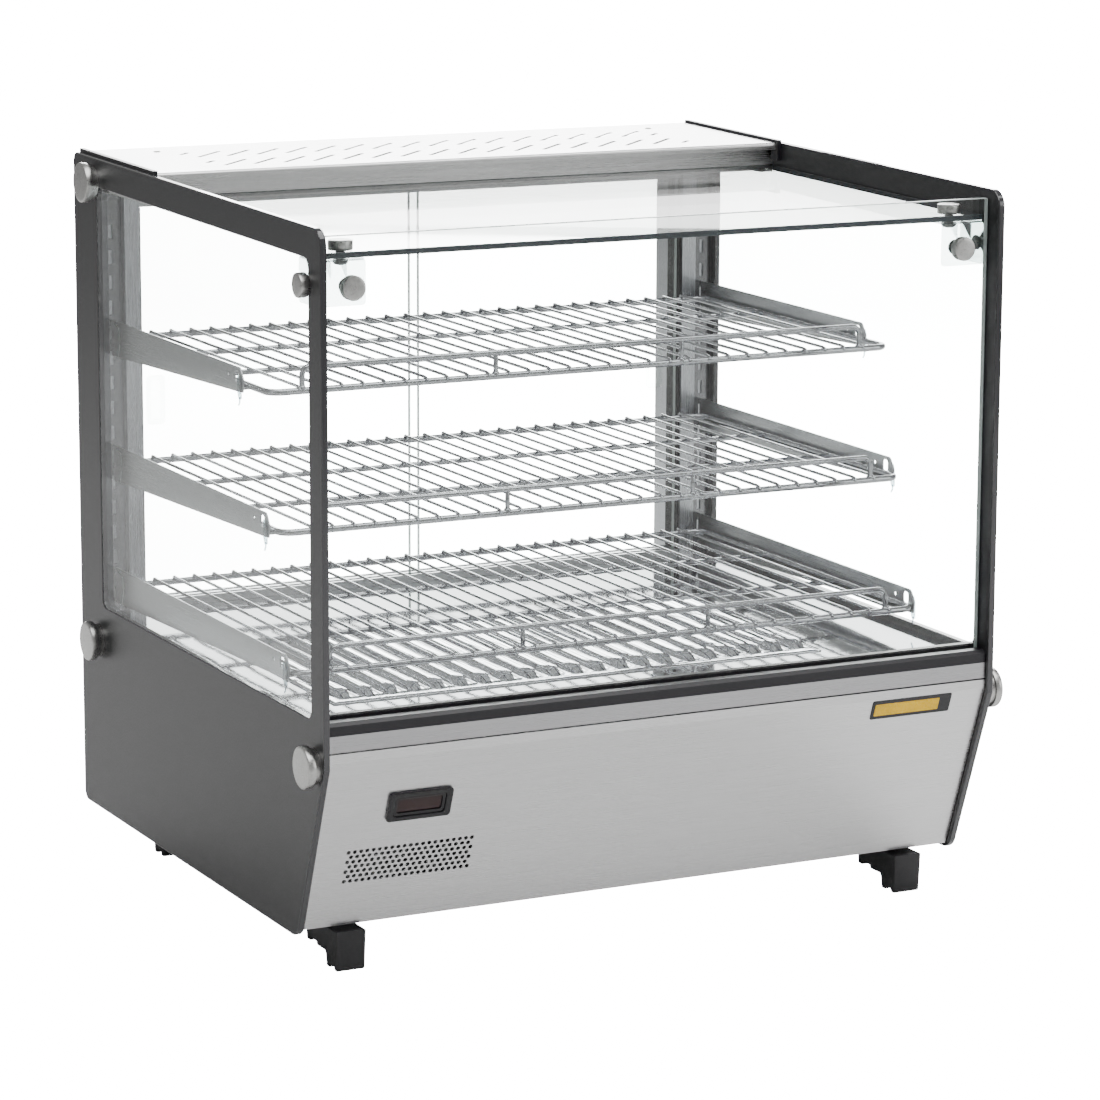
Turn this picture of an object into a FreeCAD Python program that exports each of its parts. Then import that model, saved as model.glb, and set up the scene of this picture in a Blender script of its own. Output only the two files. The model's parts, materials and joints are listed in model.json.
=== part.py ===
"""Countertop heated bakery display case, as a parametric assembly of separate pieces.

Units are millimetres. X points right, Y points to the rear, Z points up. The origin is on the
counter, under the middle of the case. The front is at minus half the case depth.
"""
import FreeCAD, Part
import math
import os
import re
import Sketcher

V = FreeCAD.Vector
doc = FreeCAD.newDocument("display_case")

# --------------------------------------------------------------------------------------------
# Driving sizes
# --------------------------------------------------------------------------------------------
SIZES = {
    # whole case
    "inner_width": (645.0, "between the inner faces of the two side glasses"),
    "case_depth": (576.0, "front edge to rear edge of the side glasses"),
    "foot_height": (36.0, "counter to the lower edge of the side glasses"),
    "front_top": (649.6, "top corner of the side glass at the front"),
    "roof_rise": (8.1, "rear top corner above the front one"),
    "kink_height": (196.0, "where the front starts to slope back"),
    "toe_setback": (60.1, "how far the front slopes back at its lower edge"),
    # side glass
    "panel_thick": (6.0, "side glass with its printed border"),
    "border_thick": (1.0, "printed border and edge band"),
    "corner_large": (15.0, "radius of the front corners of a side glass"),
    "corner_small": (9.0, "radius of the rear corners of a side glass"),
    "window_top": (26.9, "border above the window"),
    "window_back": (57.7, "border behind the window"),
    "window_front": (26.0, "border in front of the window"),
    "sill_rise": (38.8, "kink to the window's lower edge"),
    "window_corner": (9.0, "radius of the window corners"),
    # front and top glass
    "glass_thick": (5.0, "front, top and door glass"),
    "glass_gap": (1.0, "gap beside a glass"),
    "front_glass_setback": (17.0, "front edge of the case to the front glass"),
    "front_glass_drop": (7.6, "side glass top edge down to the front glass"),
    "top_glass_drop": (23.0, "side glass top edge down to the top glass"),
    # caps
    "cap_radius": (18.5, "large cap"),
    "cap_thick": (7.0, "disc of a large cap"),
    "neck_radius": (15.5, "washer under a large cap"),
    "neck_thick": (5.5, "washer under a large cap"),
    "small_cap_radius": (10.5, "small cap"),
    "small_cap_thick": (8.5, "small cap"),
    "bolt_radius": (4.0, "bolt of every cap"),
    "bolt_clearance": (0.6, "bolt to the hole in the glass"),
    "bolt_fit": (0.2, "bolt to the hole in sheet and brackets"),
    "nut_rim": (2.5, "nut wider than its bolt"),
    "nut_thick": (5.5, "nut of a small cap"),
    "cap_back_inset": (50.0, "upper rear cap from the rear edge"),
    "cap_top_drop": (23.7, "upper rear cap from the top corner"),
    "cap_low_inset": (44.0, "lower rear cap from the rear edge"),
    "cap_low_rise": (4.0, "lower rear cap above the kink"),
    "cap_front_inset": (20.0, "lower front cap from the front edge"),
    "side_cap_inset": (31.0, "small side cap from the front edge"),
    "side_cap_drop": (48.6, "small side cap from the top corner"),
    "corner_inset": (28.5, "corner fixings from the side glass"),
    "front_cap_drop": (51.0, "front cap from the top corner"),
    "top_cap_inset": (38.0, "top cap from the front edge"),
    "leaf_thick": (2.0, "leaf of a corner bracket"),
    "leaf_length": (38.0, "leaf of a corner bracket along Y"),
    "leaf_rim": (16.0, "bracket past the centre of its cap"),
    "bolt_reach": (8.0, "bolt of a large cap past the inner face of the side glass"),
    # sheet metal front
    "front_recess": (4.0, "stainless front behind the side glass edge"),
    "sheet": (1.2, "stainless sheet"),
    "seam_rise": (13.3, "kink to the seam between fascia and front panel"),
    "seam_gap": (1.4, "open seam"),
    "fascia_strip": (14.3, "height of the fascia strip"),
    "trim_height": (14.4, "front trim above the fascia"),
    "trim_lap": (7.0, "trim behind the front glass"),
    "trim_bevel": (3.0, "trim edge before the front glass"),
    "panel_rise": (4.7, "side glass lower edge to the front panel's"),
    "bend_rise": (4.0, "kink to the bend of the front panel"),
    "fascia_foot": (9.0, "lower flange of the fascia"),
    "fascia_head": (20.0, "upper flange of the fascia"),
    "panel_head": (8.0, "upper flange of the front panel"),
    "panel_foot": (14.0, "lower flange of the front panel"),
    "fit_gap": (0.5, "between separate sheet pieces"),
    "slip": (0.3, "between a glass and its channel"),
    # thermometer and grille, measured along the slope from the bend
    "bezel_width": (60.0, "thermometer bezel"),
    "bezel_height": (29.0, "thermometer bezel"),
    "bezel_inset": (61.5, "left side glass to the bezel"),
    "bezel_drop": (36.5, "bend to the top of the bezel"),
    "bezel_stand": (3.0, "bezel proud of the panel"),
    "bezel_lap": (3.0, "bezel past the edge of its cut-out"),
    "bezel_side": (9.0, "bezel beside its window"),
    "bezel_rim": (7.5, "bezel above and below its window"),
    "module_depth": (22.0, "thermometer body"),
    "grille_inset": (32.5, "left side glass to the first grille hole"),
    "grille_drop": (94.0, "bend to the first row of grille holes"),
    "grille_pitch": (5.8, "hole pitch along a row"),
    "grille_row": (5.02, "row pitch"),
    "grille_hole": (1.95, "radius of a grille hole"),
    "badge_width": (82.0, "blank badge plate"),
    "badge_height": (19.0, "blank badge plate"),
    "badge_inset": (34.5, "badge plate to the right side glass"),
    "badge_thick": (0.8, "blank badge plate"),
    # rear posts and doors
    "post_width": (36.0, "rear post along X"),
    "post_depth": (58.0, "post's front face to the rear edge of the case"),
    "back_inset": (3.0, "rear edge of the side glass to sheet and posts"),
    "post_gap": (0.6, "post beside the side glass"),
    "standard_width": (21.0, "slotted strip beside the side glass"),
    "standard_recess": (10.0, "slotted strip behind the post's front face"),
    "standard_thick": (1.5, "slotted strip"),
    "keyhole_pitch": (23.6, "slots of the strip"),
    "keyhole_width": (4.0, "slots of the strip"),
    "keyhole_height": (13.0, "slots of the strip"),
    "keyhole_start": (22.0, "deck to the first slot"),
    "door_overlap": (16.0, "overlap of the two closed doors"),
    "door_pitch": (12.0, "between the two door tracks"),
    "track_width": (24.0, "door track"),
    "track_height": (8.0, "lower door track"),
    "track_inset": (3.0, "post's front face to the door tracks"),
    "door_play": (1.0, "groove of a door track wider than the door"),
    "header_drop": (40.6, "side glass top corner down to the upper door track"),
    "groove_depth": (14.0, "groove of the upper door track"),
    "seal_thick": (2.0, "door seal on a post"),
    "seal_gap": (0.5, "door seal to a closed door"),
    "door_lift": (2.5, "deck to a door's lower edge"),
    "door_head": (4.0, "door to the bottom of the upper groove"),
    "pull_width": (18.0, "door pull"),
    "pull_height": (46.0, "door pull"),
    "pull_thick": (4.5, "door pull"),
    "pull_wall": (1.5, "door pull behind its dish"),
    "pull_rim": (4.0, "door pull around its dish"),
    "pull_edge": (12.0, "door edge to its pull"),
    "pull_rise": (172.0, "deck to a door pull"),
    # roof
    "vent_reach": (185.0, "vent panel's front edge to the rear edge of the case"),
    "vent_lip": (6.5, "front lip of the vent panel"),
    "light_setback": (13.0, "vent panel's front edge to the light housing"),
    "light_drop": (4.0, "side glass top edge down to the light housing"),
    "glass_lap": (14.0, "top glass inside the light housing"),
    "ledge_width": (14.0, "ledge of the housing under each end of the top glass"),
    "cover_thick": (2.5, "lamp cover"),
    "tube_radius": (6.5, "lamp tube"),
    "tube_inset": (60.0, "side glass to the lamp tube"),
    "tube_setback": (60.0, "front of the light housing to the lamp tube"),
    "tube_rise": (13.0, "lamp tube above the housing's lower edge"),
    "cap_block": (16.0, "lamp holder"),
    "slot_pitch": (29.4, "vent slots"),
    "slot_length": (50.0, "vent slots"),
    "slot_short": (18.0, "short slot that ends each row"),
    "slot_width": (4.2, "vent slots"),
    "slot_margin": (80.0, "side glass to the first vent slot"),
    "slot_front": (51.0, "vent panel's front edge to the first slot row"),
    "slot_rows": (64.5, "between the slot rows"),
    "slot_end": (20.0, "last long slot of a row to the short one"),
    "strip_width": (5.0, "black strip at each end of the vent panel"),
    "strip_stand": (2.5, "black strip above the side glass top edge"),
    "strip_front": (3.0, "black strip before the vent panel"),
    "vent_screw_side": (64.0, "side glass to the vent panel's screw"),
    "vent_screw_back": (150.0, "vent panel's front edge to its screws"),
    "strip_drop": (17.0, "front end of a black strip below the side glass top edge"),
    # deck
    "deck_rise": (32.0, "kink to the top of the deck"),
    "deck_rim": (8.0, "deck under the louvre plate's ends"),
    "louvre_left": (48.0, "left side glass to the first louvre"),
    "louvre_right": (122.0, "last louvre to the right side glass"),
    "louvre_blade": (14.0, "width of a louvre blade"),
    "louvre_slot": (9.0, "slot under a louvre"),
    "louvre_pitch": (22.5, "louvres of the deck"),
    "louvre_length": (240.0, "louvres of the deck"),
    "louvre_front": (102.0, "front edge of the case to the louvres"),
    # shelves
    "rod_radius": (3.0, "shelf frame rod"),
    "wire_radius": (1.5, "shelf wire"),
    "wire_pitch": (20.0, "shelf wires"),
    "rack_play": (1.0, "side rod to the bracket plate"),
    "rack_post_gap": (10.0, "rear rod to the post's front face"),
    "rack_bend": (12.0, "corner bend of the shelf frame"),
    "rail_rise": (21.0, "guard rail above the front rod"),
    "rail_radius": (2.5, "guard rail rod"),
    "rail_inset": (30.0, "guard rail ends from the side rods"),
    "rest_gap": (0.3, "shelf above the bracket flange"),
    "bracket_gap": (11.5, "bracket plate to the side glass"),
    "bracket_thick": (1.5, "bracket plate"),
    "bracket_rise": (15.0, "bracket top above the shelf rod"),
    "bracket_low": (7.0, "bracket bottom below the shelf rod at its front end"),
    "bracket_taper": (12.0, "more depth at the rear end of a bracket"),
    "bracket_top_setback": (46.0, "top shelf's front rod to the front end of its brackets"),
    "bracket_middle_setback": (15.0, "the same for the middle shelf"),
    "bracket_bottom_setback": (5.0, "the same for the bottom shelf"),
    "shelf_bottom_rise": (27.0, "deck to the rods of the bottom shelf"),
    "shelf_middle_rise": (117.0, "bottom shelf to the middle one"),
    "shelf_top_rise": (118.0, "middle shelf to the top one"),
    "shelf_top_front": (160.0, "front edge of the case to the top shelf's front rod"),
    "shelf_middle_front": (136.0, "the same for the middle shelf"),
    "shelf_bottom_front": (105.0, "the same for the bottom shelf"),
    # rear cover and what is behind it
    "cover_inset": (20.0, "rear cover's face to the rear edge of the case"),
    "control_rise": (100.0, "side glass lower edge to knob, switches and fan"),
    "knob_inset": (232.5, "knob to the right side glass"),
    "power_inset": (152.5, "power switch to the right side glass"),
    "light_inset": (107.5, "light switch to the right side glass"),
    "fan_inset": (172.5, "fan to the left side glass"),
    "gland_inset": (54.5, "cable gland to the left side glass"),
    "gland_rise": (34.0, "side glass lower edge to the cable gland"),
    "gland_length": (20.0, "bore of the cable gland"),
    "knob_radius": (17.0, "thermostat knob"),
    "knob_depth": (14.0, "thermostat knob"),
    "knob_shaft": (3.0, "thermostat shaft radius"),
    "shaft_clearance": (0.05, "running clearance of shafts"),
    "rocker_width": (19.0, "rocker switch opening, across"),
    "rocker_height": (13.0, "rocker switch opening, up"),
    "rocker_gap": (1.0, "rocker to the switch at each side"),
    "rocker_depth": (8.0, "rocker, front to back"),
    "pivot_radius": (1.6, "pivot of a rocker"),
    "pivot_fit": (0.1, "pivot to its bearing"),
    "switch_wall": (0.8, "switch body around its rocker"),
    "switch_flange": (3.0, "switch face past the opening"),
    "switch_depth": (22.0, "switch body behind the cover"),
    "fan_radius": (46.0, "fan opening"),
    "gland_bore": (4.0, "radius of the cable gland's hole"),
    # feet
    "foot_width": (28.0, "foot along X"),
    "foot_length": (68.0, "foot along Y"),
    "foot_side": (36.0, "side glass edge to the foot"),
    "foot_front": (58.0, "front edge of the case to the front feet"),
    "foot_rear": (112.0, "rear edge of the case to the rear feet's front"),
    "foot_step": (26.0, "full-height front part of a foot"),
    "foot_notch": (13.0, "rear part of a foot above the counter"),
}

DERIVED = {
    "back_top": "front_top + roof_rise",
    "window_sill": "kink_height + sill_rise",
    "front_glass_top": "front_top - front_glass_drop",
    "seam_height": "kink_height + seam_rise",
    "fascia_top": "seam_height + fascia_strip",
    "trim_top": "fascia_top + trim_height",
    "panel_low": "foot_height + panel_rise",
    "bezel_left": "bezel_inset - inner_width / 2",
    "grille_left": "grille_inset - inner_width / 2",
    "badge_left": "inner_width / 2 - badge_inset - badge_width",
    "post_front": "case_depth - post_depth",
    "track_front": "post_front + track_inset",
    "groove_width": "glass_thick + door_play",
    "header_low": "front_top - header_drop",
    "vent_front": "case_depth - vent_reach",
    "light_front": "vent_front + light_setback",
    "light_low": ("front_top + light_front * roof_rise / case_depth"
                  " - top_glass_drop - glass_thick - slip - sheet"),
    "deck_height": "kink_height + deck_rise",
    "bracket_plate": "inner_width / 2 - bracket_gap",
    "rack_half": "bracket_plate - rod_radius - rack_play",
    "rack_back": "post_front - rack_post_gap",
    "shelf_bottom_height": "deck_height + shelf_bottom_rise",
    "shelf_middle_height": "shelf_bottom_height + shelf_middle_rise",
    "shelf_top_height": "shelf_middle_height + shelf_top_rise",
    "cover_back": "case_depth - cover_inset",
}

sheet = doc.addObject("Spreadsheet::Sheet", "sizes")
rows = [(alias, str(value), note) for alias, (value, note) in SIZES.items()]
rows += [(alias, "=" + text, "follows from the sizes above") for alias, text in DERIVED.items()]
for row, (alias, content, note) in enumerate(rows, start=1):
    sheet.set(f"A{row}", alias)
    sheet.set(f"B{row}", content)
    sheet.set(f"C{row}", note)
    sheet.setAlias(f"B{row}", alias)
doc.recompute()


def size(alias):
    """Value of one cell."""
    return float(sheet.get(alias))


def formula(text):
    """Write every alias in a formula as a reference to the sheet."""
    def reference(word):
        known = word.group() in SIZES or word.group() in DERIVED
        return "sizes." + word.group() if known else word.group()
    return re.sub(r"[a-z_]+", reference, str(text))


nodes = []


def node(obj, name):
    """Register an object as one named piece of the case."""
    obj.Label = name
    nodes.append(obj)
    return obj


def place(obj, x=0, y=0, z=0):
    for axis, text in (("x", x), ("y", y), ("z", z)):
        obj.setExpression("Placement.Base." + axis, formula(text))
    return obj


def box(low, dims):
    """A box from its lowest corner and its three sizes, all formulas."""
    obj = doc.addObject("Part::Box", "block")
    for prop, text in zip(("Length", "Width", "Height"), dims):
        obj.setExpression(prop, formula(text))
    return place(obj, *low)


TURNS = {
    "x": FreeCAD.Rotation(V(0, 1, 0), 90),
    "y": FreeCAD.Rotation(V(1, 0, 0), -90),
    "z": FreeCAD.Rotation(),
}


def rod(axis, radius, length, start):
    """A cylinder along a row axis from its start point."""
    obj = doc.addObject("Part::Cylinder", "rod")
    obj.setExpression("Radius", formula(radius))
    obj.setExpression("Height", formula(length))
    obj.Placement = FreeCAD.Placement(V(), TURNS[axis])
    return place(obj, *start)


def cut(base, *tools):
    obj = doc.addObject("Part::Cut", "cut")
    obj.Base = base
    obj.Tool = tools[0] if len(tools) == 1 else group(*tools)
    return obj


def group(*items):
    obj = doc.addObject("Part::Compound", "group")
    obj.Links = list(items)
    return obj


def fuse(*items):
    obj = doc.addObject("Part::MultiFuse", "joined")
    obj.Shapes = list(items)
    return obj


def outline(points, start, length):
    """Extrude a closed outline drawn in (Y, Z), with formulas from the front edge and the counter."""
    sketch = doc.addObject("Sketcher::SketchObject", "outline")
    count = len(points)
    for i in range(count):
        a = V(10 + 10 * math.cos(6.28 * i / count), 10 + 10 * math.sin(6.28 * i / count), 0)
        b = V(10 + 10 * math.cos(6.28 * (i + 1) / count), 10 + 10 * math.sin(6.28 * (i + 1) / count), 0)
        sketch.addGeometry(Part.LineSegment(a, b))
    for i in range(count):
        sketch.addConstraint(Sketcher.Constraint("Coincident", i, 2, (i + 1) % count, 1))
    for i, pair in enumerate(points):
        for kind, text in zip(("DistanceX", "DistanceY"), pair):
            index = sketch.addConstraint(Sketcher.Constraint(kind, -1, 1, i, 1, 10.0))
            sketch.setExpression(f"Constraints[{index}]", formula(text))
    pad = doc.addObject("Part::Extrusion", "plate")
    pad.Base = sketch
    pad.DirMode = "Normal"
    pad.Solid = True
    pad.setExpression("LengthFwd", formula(length))
    sketch.Placement = FreeCAD.Placement(V(), FreeCAD.Rotation(V(1, 1, 1), 120))
    place(sketch, start, "-case_depth / 2", 0)
    return pad


def rounded(base, along, corners):
    """Round the straight edges that run along a direction through given corners."""
    doc.recompute()
    picks = []
    for number, edge in enumerate(base.Shape.Edges, start=1):
        if edge.Curve.TypeId != "Part::GeomLine":
            continue
        run = edge.Vertexes[-1].Point - edge.Vertexes[0].Point
        if abs(run.normalize().dot(along)) < 0.999:
            continue
        middle = edge.CenterOfMass
        for corner, radius in corners:
            gap = middle - corner
            off_axis = gap - along * gap.dot(along)
            if off_axis.Length < 0.05:
                picks.append((number, radius, radius))
    obj = doc.addObject("Part::Fillet", "rounded")
    obj.Base = base
    obj.Edges = picks
    return obj


X_AXIS = V(1, 0, 0)
Y_AXIS = V(0, 1, 0)
Z_AXIS = V(0, 0, 1)
FRONT = "-case_depth / 2"
SIDE = "inner_width / 2"
TOP_SLOPE = "roof_rise / case_depth"
LEAN = "toe_setback / (kink_height - foot_height)"

half_width = size("inner_width") / 2
front_y = -size("case_depth") / 2
lean_angle = math.degrees(math.atan(size("toe_setback") / (size("kink_height") - size("foot_height"))))
roof_angle = math.degrees(math.atan(size("roof_rise") / size("case_depth")))


def at(y_from_front, height):
    """A point of the (Y, Z) plane from the front edge and the counter."""
    return V(0, front_y + y_from_front, height)


# --------------------------------------------------------------------------------------------
# Side glasses with their printed borders
# --------------------------------------------------------------------------------------------
CAP_SPOTS = (
    ("case_depth - cap_back_inset", "back_top - cap_top_drop"),
    ("case_depth - cap_low_inset", "kink_height + cap_low_rise"),
    ("cap_front_inset", "kink_height"),
)
SMALL_SIDE_SPOT = ("side_cap_inset", "front_top - side_cap_drop")


def side_outline(inset, start, length):
    """Outline of a side glass, pulled in by an inset on every side."""
    slope_in = f"{inset} * sqrt(1 + pow({LEAN}; 2))"
    points = (
        (f"toe_setback + {slope_in} - {inset} * {LEAN}", f"foot_height + {inset}"),
        (f"case_depth - {inset}", f"foot_height + {inset}"),
        (f"case_depth - {inset}", f"back_top - {inset} * (1 + {TOP_SLOPE})"),
        (f"{inset}", f"front_top - {inset} * (1 - {TOP_SLOPE})"),
        (f"{inset}", f"kink_height + ({slope_in} - {inset}) / ({LEAN})"),
    )
    return outline(points, start, length)


def side_corners(inset):
    """Rounded corners that belong to side_outline."""
    lean = size("toe_setback") / (size("kink_height") - size("foot_height"))
    slope = size("roof_rise") / size("case_depth")
    slope_in = inset * math.sqrt(1 + lean * lean)
    large = size("corner_large") - inset
    small = size("corner_small") - inset
    depth = size("case_depth")
    return (
        (at(size("toe_setback") + slope_in - inset * lean, size("foot_height") + inset), large),
        (at(depth - inset, size("foot_height") + inset), small),
        (at(depth - inset, size("back_top") - inset * (1 + slope)), small),
        (at(inset, size("front_top") - inset * (1 - slope)), large),
    )


def window_prism(start, length):
    top = "front_top - window_top + {y} * " + TOP_SLOPE
    front = "window_front"
    back = "case_depth - window_back"
    points = (
        (front, "window_sill"),
        (back, "window_sill"),
        (back, top.format(y=f"({back})")),
        (front, top.format(y=front)),
    )
    prism = outline(points, start, length)
    slope = size("roof_rise") / size("case_depth")
    high = size("front_top") - size("window_top")
    near = size("window_front")
    far = size("case_depth") - size("window_back")
    corners = (at(near, size("window_sill")), at(far, size("window_sill")),
               at(far, high + far * slope), at(near, high + near * slope))
    return rounded(prism, X_AXIS, [(corner, size("window_corner")) for corner in corners])


def bolt_holes(start, length):
    """Clearance holes for the three large caps and the small one."""
    return [
        rod("x", "bolt_radius + bolt_clearance", length, (start, f"{FRONT} + {y}", z))
        for y, z in CAP_SPOTS + (SMALL_SIDE_SPOT,)
    ]


def through_bolts():
    """Holes right across the case for the bolts of the large caps."""
    return [
        rod("x", "bolt_radius + bolt_fit", "inner_width + 10", (f"-{SIDE} - 5", f"{FRONT} + {y}", z))
        for y, z in CAP_SPOTS
    ]


INSET = "(border_thick + 0.1)"
for name, glass_x, border_x in (
    ("left", f"-{SIDE} - panel_thick + {INSET}", f"-{SIDE} - panel_thick"),
    ("right", SIDE, SIDE),
):
    inset = size("border_thick") + 0.1
    pane = side_outline(INSET, glass_x, f"panel_thick - {INSET}")
    pane = rounded(pane, X_AXIS, side_corners(inset))
    node(cut(pane, *bolt_holes(f"{glass_x} - 1", "panel_thick + 2")), "side_glass_" + name)
    full = rounded(side_outline("0", border_x, "panel_thick"), X_AXIS, side_corners(0))
    hollow_x = border_x + " + border_thick" if name == "left" else border_x + " - 1"
    hollow = side_outline("border_thick", hollow_x, "panel_thick - border_thick + 1")
    hollow = rounded(hollow, X_AXIS, side_corners(size("border_thick")))
    window = window_prism(border_x + " - 1", "panel_thick + 2")
    node(cut(full, hollow, window, *bolt_holes(border_x + " - 1", "panel_thick + 2")), "side_border_" + name)

# --------------------------------------------------------------------------------------------
# Front and top glass, corner brackets and caps
# --------------------------------------------------------------------------------------------
GLASS_WIDTH = "inner_width - 2 * glass_gap"
GLASS_LEFT = f"-{SIDE} + glass_gap"
CORNER_X = "inner_width / 2 - corner_inset"
FRONT_CAP_Z = "front_top - front_cap_drop"
TOP_CAP_Y = "top_cap_inset"
TRIM_FLOOR = "fascia_top + 3.5"
FRONT_GLASS_Y = f"{FRONT} + front_glass_setback"

front_pane = box((GLASS_LEFT, FRONT_GLASS_Y, TRIM_FLOOR),
                 (GLASS_WIDTH, "glass_thick", f"front_glass_top - ({TRIM_FLOOR})"))
front_holes = [
    rod("y", "bolt_radius + bolt_clearance", "glass_thick + 2", (x, f"{FRONT_GLASS_Y} - 1", FRONT_CAP_Z))
    for x in (CORNER_X, f"-({CORNER_X})")
]
node(cut(front_pane, *front_holes), "front_glass")

ROOF_TURN = FreeCAD.Rotation(X_AXIS, roof_angle)
TOP_GLASS_Y = "front_glass_setback + glass_thick + glass_gap"
TOP_GLASS_Z = f"front_top - top_glass_drop - glass_thick + ({TOP_GLASS_Y}) * {TOP_SLOPE}"


def tilted(obj, x, y_from_front, z):
    """Lay a block parallel to the sloping top edge of the side glasses."""
    obj.Placement = FreeCAD.Placement(V(), ROOF_TURN)
    obj.setExpression("Placement.Rotation.Angle", formula(f"atan({TOP_SLOPE})"))
    return place(obj, x, f"{FRONT} + {y_from_front}", z)


top_pane = box((0, 0, 0), (GLASS_WIDTH, f"light_front + glass_lap - ({TOP_GLASS_Y})", "glass_thick"))
tilted(top_pane, GLASS_LEFT, TOP_GLASS_Y, TOP_GLASS_Z)
top_holes = [
    rod("z", "bolt_radius + bolt_clearance", "glass_thick + 4",
        (x, f"{FRONT} + {TOP_CAP_Y}", f"{TOP_GLASS_Z} - 2"))
    for x in (CORNER_X, f"-({CORNER_X})")
]
node(cut(top_pane, *top_holes), "top_glass")

INNER_FRONT = f"{FRONT_GLASS_Y} + glass_thick + bolt_fit"
UNDER_TOP = f"{TOP_GLASS_Z} - slip"
for name, sign in (("left", -1), ("right", 1)):
    wall_x = f"-{SIDE} + fit_gap" if sign < 0 else f"{SIDE} - fit_gap - leaf_thick"
    reach = "corner_inset - fit_gap + leaf_rim"
    leaf_x = wall_x if sign < 0 else f"{CORNER_X} - leaf_rim"
    leaf_low = f"{FRONT_CAP_Z} - leaf_rim"
    leaf_height = f"{UNDER_TOP} - ({FRONT_CAP_Z}) + leaf_rim"
    top_leaf = box((leaf_x, INNER_FRONT, f"{UNDER_TOP} - leaf_thick"), (reach, "leaf_length", "leaf_thick"))
    front_leaf = box((leaf_x, INNER_FRONT, leaf_low), (reach, "leaf_thick", leaf_height))
    side_leaf = box((wall_x, INNER_FRONT, leaf_low), ("leaf_thick", "leaf_length", leaf_height))
    hole = "bolt_radius + bolt_fit"
    hole_run = "leaf_thick + 6"
    bored = [
        rod("z", hole, hole_run,
            (f"{sign} * ({CORNER_X})", f"{FRONT} + {TOP_CAP_Y}", f"{UNDER_TOP} - leaf_thick - 3")),
        rod("y", hole, hole_run, (f"{sign} * ({CORNER_X})", f"{INNER_FRONT} - 3", FRONT_CAP_Z)),
        rod("x", hole, hole_run, (f"{wall_x} - 3", f"{FRONT} + {SMALL_SIDE_SPOT[0]}", SMALL_SIDE_SPOT[1])),
    ]
    node(cut(fuse(top_leaf, front_leaf, side_leaf), *bored), "corner_bracket_" + name)

NUT = "bolt_radius + nut_rim"
THROUGH = "glass_thick + leaf_thick + nut_thick"
small_caps = []
for sign in (-1, 1):
    x = f"{sign} * ({CORNER_X})"
    top_y = f"{FRONT} + {TOP_CAP_Y}"
    stack_top = f"{TOP_GLASS_Z} + glass_thick + fit_gap"
    top_nut = f"{UNDER_TOP} - leaf_thick - bolt_fit - nut_thick"
    small_caps.append(fuse(
        rod("z", "small_cap_radius", "small_cap_thick", (x, top_y, stack_top)),
        rod("z", "bolt_radius", f"{stack_top} + 1 - ({top_nut})", (x, top_y, top_nut)),
        rod("z", NUT, "nut_thick", (x, top_y, top_nut)),
    ))
    small_caps.append(fuse(
        rod("y", "small_cap_radius", "small_cap_thick",
            (x, f"{FRONT_GLASS_Y} - small_cap_thick", FRONT_CAP_Z)),
        rod("y", "bolt_radius", f"{THROUGH} + 2", (x, f"{FRONT_GLASS_Y} - 1", FRONT_CAP_Z)),
        rod("y", NUT, "nut_thick", (x, f"{INNER_FRONT} + leaf_thick + bolt_fit", FRONT_CAP_Z)),
    ))
    outer = f"-{SIDE} - panel_thick - small_cap_thick" if sign < 0 else f"{SIDE} + panel_thick"
    shank = f"-{SIDE} - panel_thick - 1" if sign < 0 else f"{SIDE} - 2 * nut_thick"
    y = f"{FRONT} + {SMALL_SIDE_SPOT[0]}"
    small_caps.append(fuse(
        rod("x", "small_cap_radius", "small_cap_thick", (outer, y, SMALL_SIDE_SPOT[1])),
        rod("x", "bolt_radius", "panel_thick + 2 * nut_thick + 1", (shank, y, SMALL_SIDE_SPOT[1])),
    ))
node(group(*small_caps), "corner_cap_bolts")

large_caps = []
for sign in (-1, 1):
    for y, z in CAP_SPOTS:
        disc = (f"-{SIDE} - panel_thick - neck_thick - cap_thick" if sign < 0
                else f"{SIDE} + panel_thick + neck_thick")
        neck = f"-{SIDE} - panel_thick - neck_thick" if sign < 0 else f"{SIDE} + panel_thick"
        shank = f"-{SIDE} - panel_thick - 1" if sign < 0 else f"{SIDE} - bolt_reach"
        spot = f"{FRONT} + {y}"
        large_caps.append(fuse(
            rod("x", "cap_radius", "cap_thick", (disc, spot, z)),
            rod("x", "neck_radius", "neck_thick", (neck, spot, z)),
            rod("x", "bolt_radius", "panel_thick + bolt_reach + 1", (shank, spot, z)),
        ))
node(group(*large_caps), "side_cap_bolts")

# --------------------------------------------------------------------------------------------
# Stainless front: trim, fascia strip, sloping panel
# --------------------------------------------------------------------------------------------
FRONT_WIDTH = "inner_width - 2 * fit_gap"
FRONT_LEFT = f"-{SIDE} + fit_gap"

TRIM_LOW = "fascia_top + bolt_fit"
TRIM_BACK = "front_glass_setback + glass_thick + trim_lap"
CHANNEL_BACK = "front_glass_setback + glass_thick + slip"
CHANNEL_FRONT = "front_glass_setback - slip"
trim_body = outline(
    (
        ("front_recess", TRIM_LOW),
        (TRIM_BACK, TRIM_LOW),
        (TRIM_BACK, "trim_top"),
        (CHANNEL_BACK, "trim_top"),
        (CHANNEL_BACK, f"{TRIM_FLOOR} - slip"),
        (CHANNEL_FRONT, f"{TRIM_FLOOR} - slip"),
        (CHANNEL_FRONT, "trim_top - trim_bevel"),
        ("front_recess + trim_bevel", "trim_top - trim_bevel"),
        ("front_recess", "trim_top - 2 * trim_bevel"),
    ),
    FRONT_LEFT, FRONT_WIDTH)
node(trim_body, "front_trim")

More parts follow.
